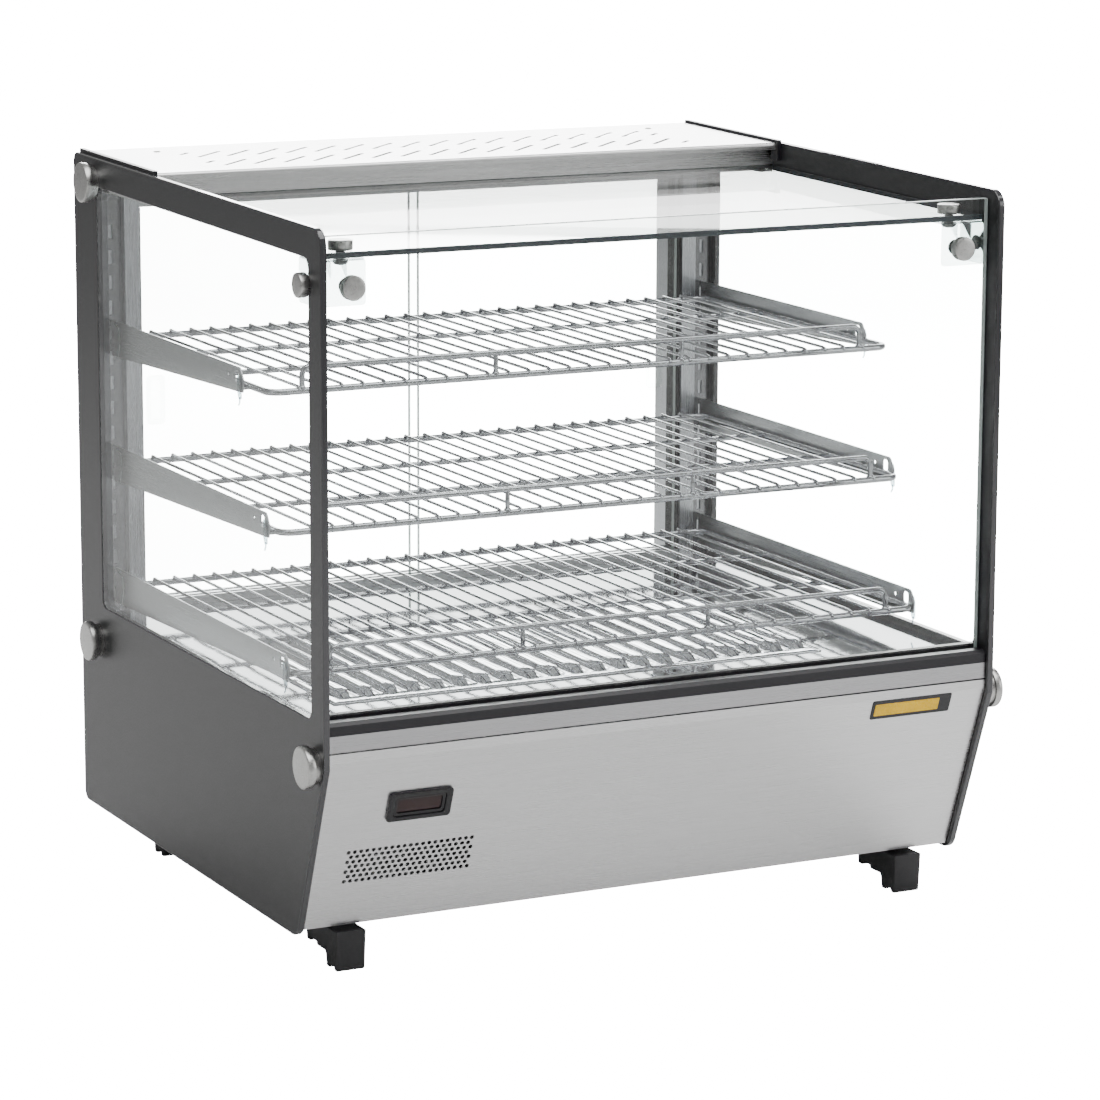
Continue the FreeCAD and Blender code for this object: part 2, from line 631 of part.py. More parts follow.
fascia = outline(
    (
        ("front_recess", "seam_height"),
        ("front_recess + fascia_foot", "seam_height"),
        ("front_recess + fascia_foot", "seam_height + sheet"),
        ("front_recess + sheet", "seam_height + sheet"),
        ("front_recess + sheet", "fascia_top - sheet"),
        ("front_recess + fascia_head", "fascia_top - sheet"),
        ("front_recess + fascia_head", "fascia_top"),
        ("front_recess", "fascia_top"),
    ),
    FRONT_LEFT, FRONT_WIDTH)
node(fascia, "front_fascia")

BEND = "kink_height + bend_rise"
LOW_Y = f"front_recess + ({BEND} - panel_low) * {LEAN}"
SHEET_Y = f"sheet * sqrt(1 + pow({LEAN}; 2))"
panel_shape = outline(
    (
        ("front_recess", "seam_height - seam_gap"),
        ("front_recess", BEND),
        (LOW_Y, "panel_low"),
        (f"{LOW_Y} + panel_foot", "panel_low"),
        (f"{LOW_Y} + panel_foot", "panel_low + sheet"),
        (f"{LOW_Y} - sheet * {LEAN} + {SHEET_Y}", "panel_low + sheet"),
        (f"front_recess + {SHEET_Y}", BEND),
        ("front_recess + sheet", "seam_height - seam_gap - sheet"),
        ("front_recess + panel_head", "seam_height - seam_gap - sheet"),
        ("front_recess + panel_head", "seam_height - seam_gap"),
    ),
    FRONT_LEFT, FRONT_WIDTH)

SLOPE_TURN = FreeCAD.Rotation(X_AXIS, lean_angle)
LEAN_ANGLE = f"atan({LEAN})"


def on_slope(obj, x, inward, drop):
    """Put a block on the sloping panel: inward from its face, drop down the slope from the bend."""
    obj.Placement = FreeCAD.Placement(V(), SLOPE_TURN)
    obj.setExpression("Placement.Rotation.Angle", formula(LEAN_ANGLE))
    y = f"{FRONT} + front_recess + ({inward}) * cos({LEAN_ANGLE}) + ({drop}) * sin({LEAN_ANGLE})"
    z = f"{BEND} + ({inward}) * sin({LEAN_ANGLE}) - ({drop}) * cos({LEAN_ANGLE})"
    return place(obj, x, y, z)


BEZEL_LOW = "bezel_drop + bezel_height"


def bezel_block(side, rim, inward, depth):
    """A block on the slope, smaller than the bezel by a margin at each side and above and below."""
    return on_slope(box((0, 0, 0), (f"bezel_width - 2 * ({side})", depth, f"bezel_height - 2 * ({rim})")),
                    f"bezel_left + {side}", inward, f"{BEZEL_LOW} - ({rim})")


bezel_hole = bezel_block("bezel_lap", "bezel_lap", "-4", "10")


def grille_holes():
    """Staggered round holes through the sloping panel."""
    holes = []
    pitch = size("grille_pitch")
    rows, columns = 7, 21
    for row in range(rows):
        shift = pitch / 2 if row % 2 else 0
        for column in range(columns - row % 2):
            x = size("grille_left") + shift + column * pitch
            drop = size("grille_drop") + row * size("grille_row")
            holes.append(Part.makeCylinder(size("grille_hole"), 12, V(x, -6, -drop), Y_AXIS))
    return Part.makeCompound(holes)


punched = doc.addObject("Part::Feature", "grille_punch")
punched.Shape = grille_holes()
on_slope(punched, 0, 0, 0)
doc.recompute()
node(cut(panel_shape, bezel_hole, punched), "front_panel")

NECK_GAP = "bezel_lap + fit_gap"
bezel_outer = bezel_block("0", "0", "-bezel_stand", "bezel_stand")
bezel_neck = bezel_block(NECK_GAP, NECK_GAP, "-1", "12")
bezel_bore = bezel_block("bezel_side", "bezel_rim", "-8", "25")
node(cut(fuse(bezel_outer, bezel_neck), bezel_bore), "thermometer_bezel")
node(bezel_block("bezel_side + 0.1", "bezel_rim + 0.1", "-0.9", "2"), "thermometer_window")
node(bezel_block("6", "2", "12", "module_depth"), "thermometer_module")
node(on_slope(box((0, 0, 0), ("badge_width", "badge_thick", "badge_height")),
              "badge_left", "-badge_thick - 0.1", "badge_height + 1"), "badge_plate")

# --------------------------------------------------------------------------------------------
# Base: shell, rear cover, deck and louvre plate, feet
# --------------------------------------------------------------------------------------------
SHELL_TOP = "deck_height - sheet - slip"
DECK_FRONT = f"{TRIM_BACK} + fit_gap"
shell_front = f"{DECK_FRONT} + ({BEND} - foot_height) * {LEAN}"


def shell_block(low, high, front_shift, back, start, length):
    """A block under the deck with a front that leans like the front panel."""
    return outline(
        (
            (f"{shell_front} + {front_shift}", low),
            (back, low),
            (back, high),
            (f"{DECK_FRONT} + {front_shift}", high),
            (f"{DECK_FRONT} + {front_shift}", BEND),
        ),
        start, length)


shell = shell_block("foot_height", SHELL_TOP, "0", "case_depth - back_inset", FRONT_LEFT, FRONT_WIDTH)
hollow = shell_block("foot_height + sheet", f"{SHELL_TOP} + 5", "-40", "case_depth + 5",
                     f"{FRONT_LEFT} + sheet", f"{FRONT_WIDTH} - 2 * sheet")
node(cut(shell, hollow, *through_bolts()), "base_shell")

COVER_Y = f"{FRONT} + cover_back"
COVER_LEFT = f"{FRONT_LEFT} + sheet + slip"
COVER_WIDTH = f"{FRONT_WIDTH} - 2 * sheet - 2 * slip"
COVER_LOW = "foot_height + sheet + slip"
CONTROL_Z = "foot_height + control_rise"
KNOB_X = f"{SIDE} - knob_inset"
ROCKER_X = (f"{SIDE} - power_inset", f"{SIDE} - light_inset")
FAN_X = f"fan_inset - {SIDE}"
GLAND_X = f"gland_inset - {SIDE}"
GLAND_Z = "foot_height + gland_rise"
cover = box((COVER_LEFT, f"{COVER_Y} - sheet", COVER_LOW),
            (COVER_WIDTH, "sheet", f"{SHELL_TOP} - ({COVER_LOW})"))
COVER_CUT = f"{COVER_Y} - 4"
cover_tools = [
    rod("y", "knob_shaft + 0.8", "8", (KNOB_X, COVER_CUT, CONTROL_Z)),
    rod("y", "gland_bore + 2.6", "8", (GLAND_X, COVER_CUT, GLAND_Z)),
]
for x in ROCKER_X:
    cover_tools.append(box((f"{x} - rocker_width / 2 - 1", COVER_CUT, f"{CONTROL_Z} - rocker_height / 2 - 1"),
                           ("rocker_width + 2", "8", "rocker_height + 2")))
vent_rows, vent_step = 7, 14
for i in range(vent_rows):
    offset = (i - vent_rows // 2) * vent_step
    cover_tools.append(box((f"{FAN_X} - fan_radius - 2", f"{COVER_Y} - 4", f"{CONTROL_Z} - 2 + {offset}"),
                           ("2 * fan_radius + 4", "8", "5")))
node(cut(cover, *cover_tools), "rear_cover")

gland_y = f"{COVER_Y} - sheet - 6"
gland = fuse(
    rod("y", "gland_bore + 2.4", "gland_length", (GLAND_X, gland_y, GLAND_Z)),
    rod("y", "gland_bore + 6", "5", (GLAND_X, f"{COVER_Y} + 0.2", GLAND_Z)),
    rod("y", "gland_bore + 5", "3", (GLAND_X, f"{COVER_Y} - sheet - 3.3", GLAND_Z)),
)
gland_hole = rod("y", "gland_bore", "gland_length + 10", (GLAND_X, f"{gland_y} - 5", GLAND_Z))
node(cut(gland, gland_hole), "cable_gland")

louvre_room = size("inner_width") - size("louvre_left") - size("louvre_right")
louvre_count = int(louvre_room / size("louvre_pitch") + 0.001)
LOUVRE_SPAN = f"{louvre_count} * louvre_pitch"
LOUVRE_START = f"louvre_left - {SIDE}"
deck_plate = box((FRONT_LEFT, f"{FRONT} + {DECK_FRONT}", "deck_height - sheet"),
                 (FRONT_WIDTH, f"case_depth - back_inset - ({DECK_FRONT})", "sheet"))
deck_hole = box((f"{LOUVRE_START} + deck_rim", f"{FRONT} + louvre_front - 2", "deck_height - 5"),
                (f"{LOUVRE_SPAN} - 2 * deck_rim", "louvre_length + 4", "10"))
node(cut(deck_plate, deck_hole), "deck")


def louvre_plate():
    """A plate with raised, tilted blades over long slots."""
    pitch = size("louvre_pitch")
    length = size("louvre_length")
    near = front_y + size("louvre_front")
    low = size("deck_height") + 0.1
    start = size("louvre_left") - half_width
    plate = Part.makeBox(louvre_count * pitch + 10, length + 24, 1, V(start - 5, near - 12, low))
    slots = []
    blades = []
    for i in range(louvre_count):
        x = start + pitch * (i + 0.5)
        slots.append(Part.makeBox(size("louvre_slot"), length - 8, 6, V(x - 3, near + 4, low - 2)))
        blade = Part.makeBox(size("louvre_blade"), length, 1, V(0, 0, 0))
        blade.rotate(V(), Y_AXIS, -24)
        blade.translate(V(x - 6, near, low + 0.2))
        blades.append(blade)
    return plate.cut(Part.makeCompound(slots)).multiFuse(blades).removeSplitter()


plate_feature = doc.addObject("Part::Feature", "louvres")
plate_feature.Shape = louvre_plate()
node(plate_feature, "louvre_plate")

feet = []
for sign in (-1, 1):
    foot_x = (f"-{SIDE} - panel_thick + foot_side" if sign < 0
              else f"{SIDE} + panel_thick - foot_side - foot_width")
    for foot_y in ("foot_front", "case_depth - foot_rear"):
        block = box((foot_x, f"{FRONT} + {foot_y}", 0), ("foot_width", "foot_length", "foot_height - 0.1"))
        step = box((f"{foot_x} - 1", f"{FRONT} + {foot_y} + foot_step", -1),
                   ("foot_width + 2", "foot_length", "foot_notch + 1"))
        feet.append(cut(block, step))
node(group(*feet), "feet")

# --------------------------------------------------------------------------------------------
# Rear posts, slotted standards, seals and door tracks
# --------------------------------------------------------------------------------------------
POST_LOW = "deck_height + bolt_fit"
ROOF_LOW = f"front_top + post_front * {TOP_SLOPE} - 6"
POST_HEIGHT = f"{ROOF_LOW} - ({POST_LOW})"
keyhole_room = size("front_top") - size("deck_height") - 2 * size("keyhole_start")
keyhole_count = int(keyhole_room / size("keyhole_pitch")) - 1
for name, sign in (("left", -1), ("right", 1)):
    outer_x = f"{SIDE} - post_gap"
    inner_x = f"({outer_x} - post_width)"
    start = f"-({outer_x})" if sign < 0 else inner_x
    body = box((start, f"{FRONT} + post_front", POST_LOW),
               ("post_width", "post_depth - back_inset", POST_HEIGHT))
    cavity = box((f"{start} + sheet", f"{FRONT} + post_front + standard_recess + sheet", f"{POST_LOW} - 1"),
                 ("post_width - 2 * sheet", "case_depth", f"{POST_HEIGHT} + 2"))
    recess_x = f"-({outer_x}) - 1" if sign < 0 else f"{outer_x} - standard_width"
    recess = box((recess_x, f"{FRONT} + post_front - 1", f"{POST_LOW} - 1"),
                 ("standard_width + 1", "standard_recess + 1", f"{POST_HEIGHT} + 2"))
    node(cut(body, cavity, recess, *through_bolts()), "rear_post_" + name)
    strip_x = f"-({outer_x})" if sign < 0 else f"{outer_x} - standard_width + bolt_fit"
    strip = box((strip_x, f"{FRONT} + post_front + standard_recess - standard_thick - bolt_fit", POST_LOW),
                ("standard_width - bolt_fit", "standard_thick", POST_HEIGHT))
    slots = []
    for i in range(keyhole_count):
        slot_x = f"{sign} * (bracket_plate + bracket_thick / 2) - keyhole_width / 2"
        slot_z = f"deck_height + keyhole_start + {i} * keyhole_pitch"
        slots.append(box((slot_x, f"{FRONT} + post_front", slot_z),
                         ("keyhole_width", "standard_recess + 5", "keyhole_height")))
    node(cut(strip, *slots, *through_bolts()), "shelf_standard_" + name)

INNER_POST = f"({SIDE} - post_gap - post_width)"
seals = []
for sign in (-1, 1):
    seal_x = f"-{INNER_POST} + 0.1" if sign < 0 else f"{INNER_POST} - seal_thick - 0.1"
    seals.append(box((seal_x, f"{FRONT} + track_front", "deck_height + track_height + 0.4"),
                     ("seal_thick", "track_width", "header_low - deck_height - track_height - 0.8")))
node(group(*seals), "door_seals")

TRACK_LEFT = f"-{INNER_POST} + 0.2"
TRACK_LENGTH = f"2 * {INNER_POST} - 0.4"
TRACK_Y = f"{FRONT} + track_front"
GROOVES = ("(track_width - door_pitch - groove_width) / 2", "(track_width + door_pitch - groove_width) / 2")


def track(low, height, groove_low, groove_height):
    """A bar across the rear opening with a groove for each door."""
    bar = box((TRACK_LEFT, TRACK_Y, low), (TRACK_LENGTH, "track_width", height))
    grooves = [
        box((f"{TRACK_LEFT} - 1", f"{TRACK_Y} + {offset}", groove_low),
            (f"{TRACK_LENGTH} + 2", "groove_width", groove_height))
        for offset in GROOVES
    ]
    return cut(bar, *grooves)


node(track(POST_LOW, "track_height - bolt_fit", "deck_height + 2", "track_height + 5"), "door_track_bottom")
node(track("header_low", f"{ROOF_LOW} - header_low", "header_low - 5", "groove_depth + 5"), "door_track_top")

# --------------------------------------------------------------------------------------------
# Sliding glass doors with their pulls
# --------------------------------------------------------------------------------------------
DOOR_LOW = "deck_height + door_lift"
DOOR_HIGH = "header_low + groove_depth - door_head"
DOOR_WIDTH = f"({INNER_POST} - seal_thick - seal_gap + door_overlap / 2)"
for name, sign, offset in (("left", -1, GROOVES[1]), ("right", 1, GROOVES[0])):
    door_x = f"-{INNER_POST} + seal_thick + seal_gap" if sign < 0 else "-door_overlap / 2"
    door_y = f"{TRACK_Y} + {offset} + (groove_width - glass_thick) / 2"
    node(box((door_x, door_y, DOOR_LOW), (DOOR_WIDTH, "glass_thick", f"{DOOR_HIGH} - ({DOOR_LOW})")),
         "rear_door_" + name)
    pull_x = (f"{door_x} + pull_edge" if sign < 0
              else f"{door_x} + {DOOR_WIDTH} - pull_edge - pull_width")
    pull = box((pull_x, f"{door_y} + glass_thick", "deck_height + pull_rise"),
               ("pull_width", "pull_thick", "pull_height"))
    dish = box((f"{pull_x} + pull_rim", f"{door_y} + glass_thick + pull_wall",
                "deck_height + pull_rise + pull_rim"),
               ("pull_width - 2 * pull_rim", "pull_thick", "pull_height - 2 * pull_rim"))
    node(cut(pull, dish), "door_pull_" + name)

# --------------------------------------------------------------------------------------------
# Roof: light housing, tube, cover, vent panel and end strips
# --------------------------------------------------------------------------------------------
HOUSING_Y = f"{FRONT} + light_front"
HOUSING_HIGH = f"front_top + light_front * {TOP_SLOPE} - light_drop"
HOUSING_DEPTH = "post_front - 1 - light_front"
LAP = "glass_lap + slip"
SLOT_LOW = "light_low + sheet"
SLOT_HEIGHT = f"glass_thick + 2 * slip + glass_lap * {TOP_SLOPE}"
BEHIND_LAP = f"{LAP} + sheet"
housing = box((FRONT_LEFT, HOUSING_Y, "light_low"),
              (FRONT_WIDTH, HOUSING_DEPTH, f"{HOUSING_HIGH} - light_low"))
lamp_room = box((f"{FRONT_LEFT} + sheet", f"{HOUSING_Y} + {BEHIND_LAP}", "light_low - 1"),
                (f"{FRONT_WIDTH} - 2 * sheet", f"{HOUSING_DEPTH} - ({BEHIND_LAP}) - sheet",
                 f"{HOUSING_HIGH} - light_low - sheet + 1"))
nose_low = f"{SLOT_LOW} + {SLOT_HEIGHT} + sheet"
nose_room = box((f"{FRONT_LEFT} + sheet", f"{HOUSING_Y} + sheet", nose_low),
                (f"{FRONT_WIDTH} - 2 * sheet", BEHIND_LAP, f"{HOUSING_HIGH} - sheet - ({nose_low})"))
glass_slot = box((f"{FRONT_LEFT} - 1", f"{HOUSING_Y} - 1", SLOT_LOW),
                 (f"{FRONT_WIDTH} + 2", f"{LAP} + 1", SLOT_HEIGHT))
open_middle = box((f"{FRONT_LEFT} + ledge_width", f"{HOUSING_Y} - 1", "light_low - 1"),
                  (f"{FRONT_WIDTH} - 2 * ledge_width", f"{LAP} + 1", "sheet + 2"))
node(cut(housing, lamp_room, nose_room, glass_slot, open_middle), "light_housing")
cover_margin = "sheet + 0.8"
cover_y = f"{BEHIND_LAP} + fit_gap"
node(box((f"{FRONT_LEFT} + {cover_margin}", f"{HOUSING_Y} + {cover_y}", "light_low"),
         (f"{FRONT_WIDTH} - 2 * ({cover_margin})", f"{HOUSING_DEPTH} - ({cover_y}) - sheet - fit_gap",
          "cover_thick")),
     "light_cover")
tube_y = f"{HOUSING_Y} + tube_setback"
holder_y = f"{tube_y} - cap_block / 2"
holder_z = "light_low + tube_rise - cap_block / 2"
holders = [
    box((x, holder_y, holder_z), ("cap_block", "cap_block", "cap_block + 2"))
    for x in (f"-{SIDE} + tube_inset - 0.8 * cap_block", f"{SIDE} - tube_inset - 0.2 * cap_block")
]
tube = rod("x", "tube_radius", "inner_width - 2 * tube_inset",
           (f"-{SIDE} + tube_inset", tube_y, "light_low + tube_rise"))
node(fuse(tube, *holders), "light_tube")

VENT_LEFT = f"-{SIDE} + strip_width"
VENT_WIDTH = "inner_width - 2 * strip_width"
VENT_DEPTH = "case_depth - vent_front - 1"
VENT_TOP = f"front_top + vent_front * {TOP_SLOPE}"
vent_outer = tilted(box((0, 0, 0), (VENT_WIDTH, VENT_DEPTH, "vent_lip")),
                    VENT_LEFT, "vent_front", f"{VENT_TOP} - vent_lip")
doc.recompute()
lip_corner = vent_outer.Placement.multVec(V(0, 0, size("vent_lip")))
vent_round = rounded(vent_outer, X_AXIS, [(V(0, lip_corner.y, lip_corner.z), 3.0)])
vent_hollow = tilted(box((0, 0, 0), (f"{VENT_WIDTH} + 2", f"{VENT_DEPTH} - 2.4", "vent_lip")),
                     f"{VENT_LEFT} - 1", "vent_front + 1.2", f"{VENT_TOP} - vent_lip - 1.3")


def vent_slots():
    """Two rows of slanted round-ended slots, each ended by a short one."""
    tools = []
    turn = 45
    half = size("slot_width") / 2
    long = size("slot_length")
    short = size("slot_short")
    pitch = size("slot_pitch")
    count = int((size("inner_width") - 2 * size("slot_margin")) / pitch)
    reach = (count - 1) / 2 * pitch
    shift = (long - short) / 2 * math.sin(math.radians(turn))
    middle = half_width - size("strip_width")
    for row in (size("slot_front"), size("slot_front") + size("slot_rows")):
        spots = [(i * pitch - reach, row, long) for i in range(count)]
        spots += [(side * (reach + size("slot_end")), row - side * shift, short) for side in (-1, 1)]
        for x, y, length in spots:
            run = length - 2 * half
            slot = Part.makeBox(run, 2 * half, 20, V(-run / 2, -half, -10))
            ends = [Part.makeCylinder(half, 20, V(side * run / 2, 0, -10)) for side in (-1, 1)]
            slot = slot.multiFuse(ends)
            slot.rotate(V(), Z_AXIS, turn)
            slot.translate(V(middle + x, y, size("vent_lip")))
            tools.append(slot)
    return Part.makeCompound(tools)


slot_feature = doc.addObject("Part::Feature", "slot_punch")
slot_feature.Shape = vent_slots()
tilted(slot_feature, VENT_LEFT, "vent_front", f"{VENT_TOP} - vent_lip")
doc.recompute()
node(cut(vent_round, vent_hollow, slot_feature), "top_vent_panel")

strips = []
for sign in (-1, 1):
    strip_x = f"-{SIDE} + 0.3" if sign < 0 else f"{SIDE} - strip_width + 0.3"
    strips.append(fuse(
        tilted(box((0, 0, 0), ("strip_width - 0.6", f"{VENT_DEPTH} + strip_front", "strip_stand + 3.2")),
               strip_x, "vent_front - strip_front", f"{VENT_TOP} - 3.2"),
        tilted(box((0, 0, 0), ("strip_width - 0.6", "12", "strip_drop + strip_stand")),
               strip_x, "vent_front - strip_front", f"{VENT_TOP} - strip_drop"),
    ))
node(group(*strips), "vent_end_strips")

screws = []
for sign in (-1, 1):
    depth = "vent_front + vent_screw_back"
    head_z = f"front_top + ({depth}) * {TOP_SLOPE}"
    screws.append(rod("z", "3.5", "1.2", (f"{sign} * (inner_width / 2 - vent_screw_side)",
                                          f"{FRONT} + {depth}", f"{head_z} + 0.05")))
    for z in ("foot_height + 16", f"{SHELL_TOP} - 14"):
        screws.append(rod("y", "4", "2.2", (f"{sign} * (inner_width / 2 - 16)", f"{COVER_Y} + 0.1", z)))
node(group(*screws), "panel_screws")

# --------------------------------------------------------------------------------------------
# Shelves: wire racks and their brackets
# --------------------------------------------------------------------------------------------
SHELVES = ("top", "middle", "bottom")


def wire_rack(front_shift, height):
    """Frame rods, cross rods, front-to-back wires and a guard rail, welded into one rack."""
    rod_r = size("rod_radius")
    wire_r = size("wire_radius")
    half = size("rack_half")
    near = front_y + front_shift
    far = front_y + size("rack_back")
    bend = size("rack_bend")
    corners = ((-half, near), (half, near), (half, far), (-half, far))
    edges = []
    for i, (x, y) in enumerate(corners):
        nx, ny = corners[(i + 1) % 4]
        way = V(nx - x, ny - y, 0).normalize()
        side = V(-way.y, way.x, 0)
        start = V(x, y, height) + way * bend
        stop = V(nx, ny, height) - way * bend
        edges.append(Part.makeLine(start, stop))
        centre = stop + side * bend
        middle = centre - side * (bend * math.cos(math.pi / 4)) + way * (bend * math.sin(math.pi / 4))
        edges.append(Part.Arc(stop, middle, centre + way * bend).toShape())
    ring = Part.Wire(Part.__sortEdges__(edges))
    first = edges[0].Vertexes[0].Point
    profile = Part.Wire(Part.Circle(first, V(1, 0, 0), rod_r).toShape())
    frame = ring.makePipeShell([profile], True, True)
    pieces = []
    length = far - near
    for share in (0.33, 0.67):
        cross = V(-half, near + share * length, height)
        pieces.append(Part.makeCylinder(rod_r - 0.5, 2 * half, cross, X_AXIS))
    count = int((half - bend) // size("wire_pitch"))
    wire_z = height + rod_r + wire_r - 0.8
    for i in range(-count, count + 1):
        end = V(i * size("wire_pitch"), near - 1, wire_z)
        pieces.append(Part.makeCylinder(wire_r, length + 2, end, Y_AXIS))
    rail_half = half - size("rail_inset")
    rail_r = size("rail_radius")
    rail_z = height + size("rail_rise")
    pieces.append(Part.makeCylinder(rail_r, 2 * rail_half, V(-rail_half, near, rail_z), X_AXIS))
    for x in (-rail_half + rail_r, -rail_half / 3, rail_half / 3, rail_half - rail_r):
        pieces.append(Part.makeCylinder(rail_r - 0.1, rail_z - height, V(x, near, height), Z_AXIS))
    return frame.multiFuse(pieces)


for name in SHELVES:
    rack = doc.addObject("Part::Feature", "rack")
    rack.Shape = wire_rack(size(f"shelf_{name}_front"), size(f"shelf_{name}_height"))
    node(rack, f"shelf_{name}_rack")

clips = []
HOOK_Y = "post_front + standard_recess - 2.2"
for shelf in SHELVES:
    rod_z = f"shelf_{shelf}_height"
    end_y = f"shelf_{shelf}_front + bracket_{shelf}_setback"
    for name, sign in (("left", -1), ("right", 1)):
        plate_x = "-bracket_plate - bracket_thick" if sign < 0 else "bracket_plate"
        plate = outline(
            (
                (end_y, f"{rod_z} - bracket_low"),
                (HOOK_Y, f"{rod_z} - bracket_low - bracket_taper"),
                (HOOK_Y, f"{rod_z} + bracket_rise"),
                (end_y, f"{rod_z} + bracket_rise"),
            ),
            plate_x, "bracket_thick")
        eye = rod("x", "2", "10", (f"{plate_x} - 4", f"{FRONT} + {end_y} + 34", f"{rod_z} + 6"))
        slot = box((f"{plate_x} - 4", f"{FRONT} + {end_y} + 13", f"{rod_z} + 1"), ("10", "8", "10"))
        flange_x = "-bracket_plate - 0.2" if sign < 0 else "bracket_plate - 9"
        flange = box((flange_x, f"{FRONT} + {end_y} + 6", f"{rod_z} - rod_radius - rest_gap - bracket_thick"),
                     ("9.2", f"{HOOK_Y} - ({end_y}) - 30", "bracket_thick"))
        node(fuse(cut(plate, eye, slot), flange), f"shelf_bracket_{shelf}_{name}")
        clip_x = f"{plate_x} - 1.8" if sign < 0 else f"{plate_x} + bracket_thick + 0.2"
        clips.append(fuse(
            box((clip_x, f"{FRONT} + {end_y} + 2", f"{rod_z} - bracket_low - 6"), ("1.6", "7", "22")),
            box((clip_x, f"{FRONT} + {end_y} + 2", f"{rod_z} - bracket_low - 12"), ("1.6", "3", "7")),
        ))
node(group(*clips), "bracket_clips")

# --------------------------------------------------------------------------------------------
# Heating, air and controls inside the base
# --------------------------------------------------------------------------------------------
FAN_Y = f"{COVER_Y} - sheet - 40"
fan_z = CONTROL_Z
frame_block = box((f"{FAN_X} - fan_radius - 8", FAN_Y, f"{fan_z} - fan_radius - 8"),
                  ("2 * fan_radius + 16", "30", "2 * fan_radius + 16"))
fan_bore = rod("y", "fan_radius", "40", (FAN_X, f"{FAN_Y} - 5", fan_z))
motor = rod("y", "20", "10", (FAN_X, FAN_Y, fan_z))
struts = [
    box((f"{FAN_X} - fan_radius - 4", FAN_Y, f"{fan_z} - 3"), ("2 * fan_radius + 8", "4", "6")),
    box((f"{FAN_X} - 3", FAN_Y, f"{fan_z} - fan_radius - 4"), ("6", "4", "2 * fan_radius + 8")),
]
shaft = rod("y", "knob_shaft", "14", (FAN_X, f"{FAN_Y} + 8", fan_z))
node(fuse(cut(frame_block, fan_bore), motor, *struts, shaft), "fan_frame")


def rotor_shape():
    """Hub with seven pitched blades."""
    hub = Part.makeCylinder(18, 14, V(0, 0, 0), Y_AXIS)
    blades = []
    reach = size("fan_radius") - 3
    for i in range(7):
        blade = Part.makeBox(1.6, 18, reach - 15, V(-0.8, -2, 15))
        blade.rotate(V(0, 7, 0), Z_AXIS, 38)
        blade.rotate(V(), Y_AXIS, i * 360 / 7)
        blades.append(blade)
    bore = Part.makeCylinder(size("knob_shaft") + size("shaft_clearance"), 40, V(0, -10, 0), Y_AXIS)
    return hub.multiFuse(blades).cut(bore)


rotor = doc.addObject("Part::Feature", "rotor")
rotor.Shape = rotor_shape()
place(rotor, FAN_X, f"{FAN_Y} + 11", fan_z)
node(rotor, "fan_rotor")


def heater_shape():
    """A tubular element bent to a hairpin."""
    path = (V(-200, -60, 0), V(150, -60, 0), V(150, 40, 0), V(-200, 40, 0))
    radius = 30
    edges = []
    points = [path[0]]
    for i in (1, 2):
        before = (path[i - 1] - path[i]).normalize()
        after = (path[i + 1] - path[i]).normalize()
        start = path[i] + before * radius
        stop = path[i] + after * radius
        centre = start + after * radius
        middle = centre - (before + after).normalize() * radius
        edges.append(Part.makeLine(points[-1], start))
        edges.append(Part.Arc(start, middle, stop).toShape())
        points.append(stop)
    edges.append(Part.makeLine(points[-1], path[3]))
    wire = Part.Wire(edges)
    profile = Part.Wire(Part.Circle(path[0], X_AXIS, 4.2).toShape())
    return wire.makePipeShell([profile], True, True)


heater = doc.addObject("Part::Feature", "heater")
heater.Shape = heater_shape()
place(heater, 20, 0, "deck_height - 45")
node(heater, "heater_element")

node(box(("-60", f"{COVER_Y} - 90", COVER_LOW), ("90", "44", "24")), "terminal_block")

thermostat = fuse(
    box((f"{KNOB_X} - 22", f"{COVER_Y} - sheet - 30.2", f"{CONTROL_Z} - 20"), ("44", "30", "40")),
    rod("y", "knob_shaft", "knob_depth - 2", (KNOB_X, f"{COVER_Y} - sheet - 1", CONTROL_Z)),
)
node(thermostat, "thermostat_body")
knob = rod("y", "knob_radius", "knob_depth", (KNOB_X, f"{COVER_Y} + 1", CONTROL_Z))
knob_bore = rod("y", "knob_shaft + shaft_clearance", "knob_depth - 3",
                (KNOB_X, f"{COVER_Y} - 0.5", CONTROL_Z))
knob_ridge = box((f"{KNOB_X} - 3", f"{COVER_Y} + 5", f"{CONTROL_Z} - knob_radius - 0.6"),
                 ("6", "knob_depth - 4", "knob_radius * 2 + 1.2"))
node(cut(fuse(knob, knob_ridge), knob_bore), "thermostat_knob")

PIVOT_Y = f"{COVER_Y} - 1.5"
switch_bodies = []
for name, x in zip(("power", "light"), ROCKER_X):
    left, low = f"{x} - rocker_width / 2", f"{CONTROL_Z} - rocker_height / 2"
    face = box((f"{left} - switch_flange", f"{COVER_Y} + 0.1", f"{low} - switch_flange"),
               ("rocker_width + 2 * switch_flange", "2.4", "rocker_height + 2 * switch_flange"))
    barrel = box((f"{left} - switch_wall", f"{COVER_Y} - switch_depth", f"{low} - switch_wall"),
                 ("rocker_width + 2 * switch_wall", "switch_depth + 1", "rocker_height + 2 * switch_wall"))
    well = box((left, f"{COVER_Y} - 10", low), ("rocker_width", "20", "rocker_height"))
    bearing = rod("z", "pivot_radius + pivot_fit", "rocker_height + 1", (x, PIVOT_Y, f"{low} - 0.5"))
    switch_bodies.append(cut(fuse(face, barrel), well, bearing))
    key = box((f"{left} + rocker_gap", f"{COVER_Y} - 3", f"{low} + rocker_gap"),
              ("rocker_width - 2 * rocker_gap", "rocker_depth", "rocker_height - 2 * rocker_gap"))
    pivot = rod("z", "pivot_radius", "rocker_height + 0.6", (x, PIVOT_Y, f"{low} - 0.3"))
    node(fuse(key, pivot), name + "_rocker")
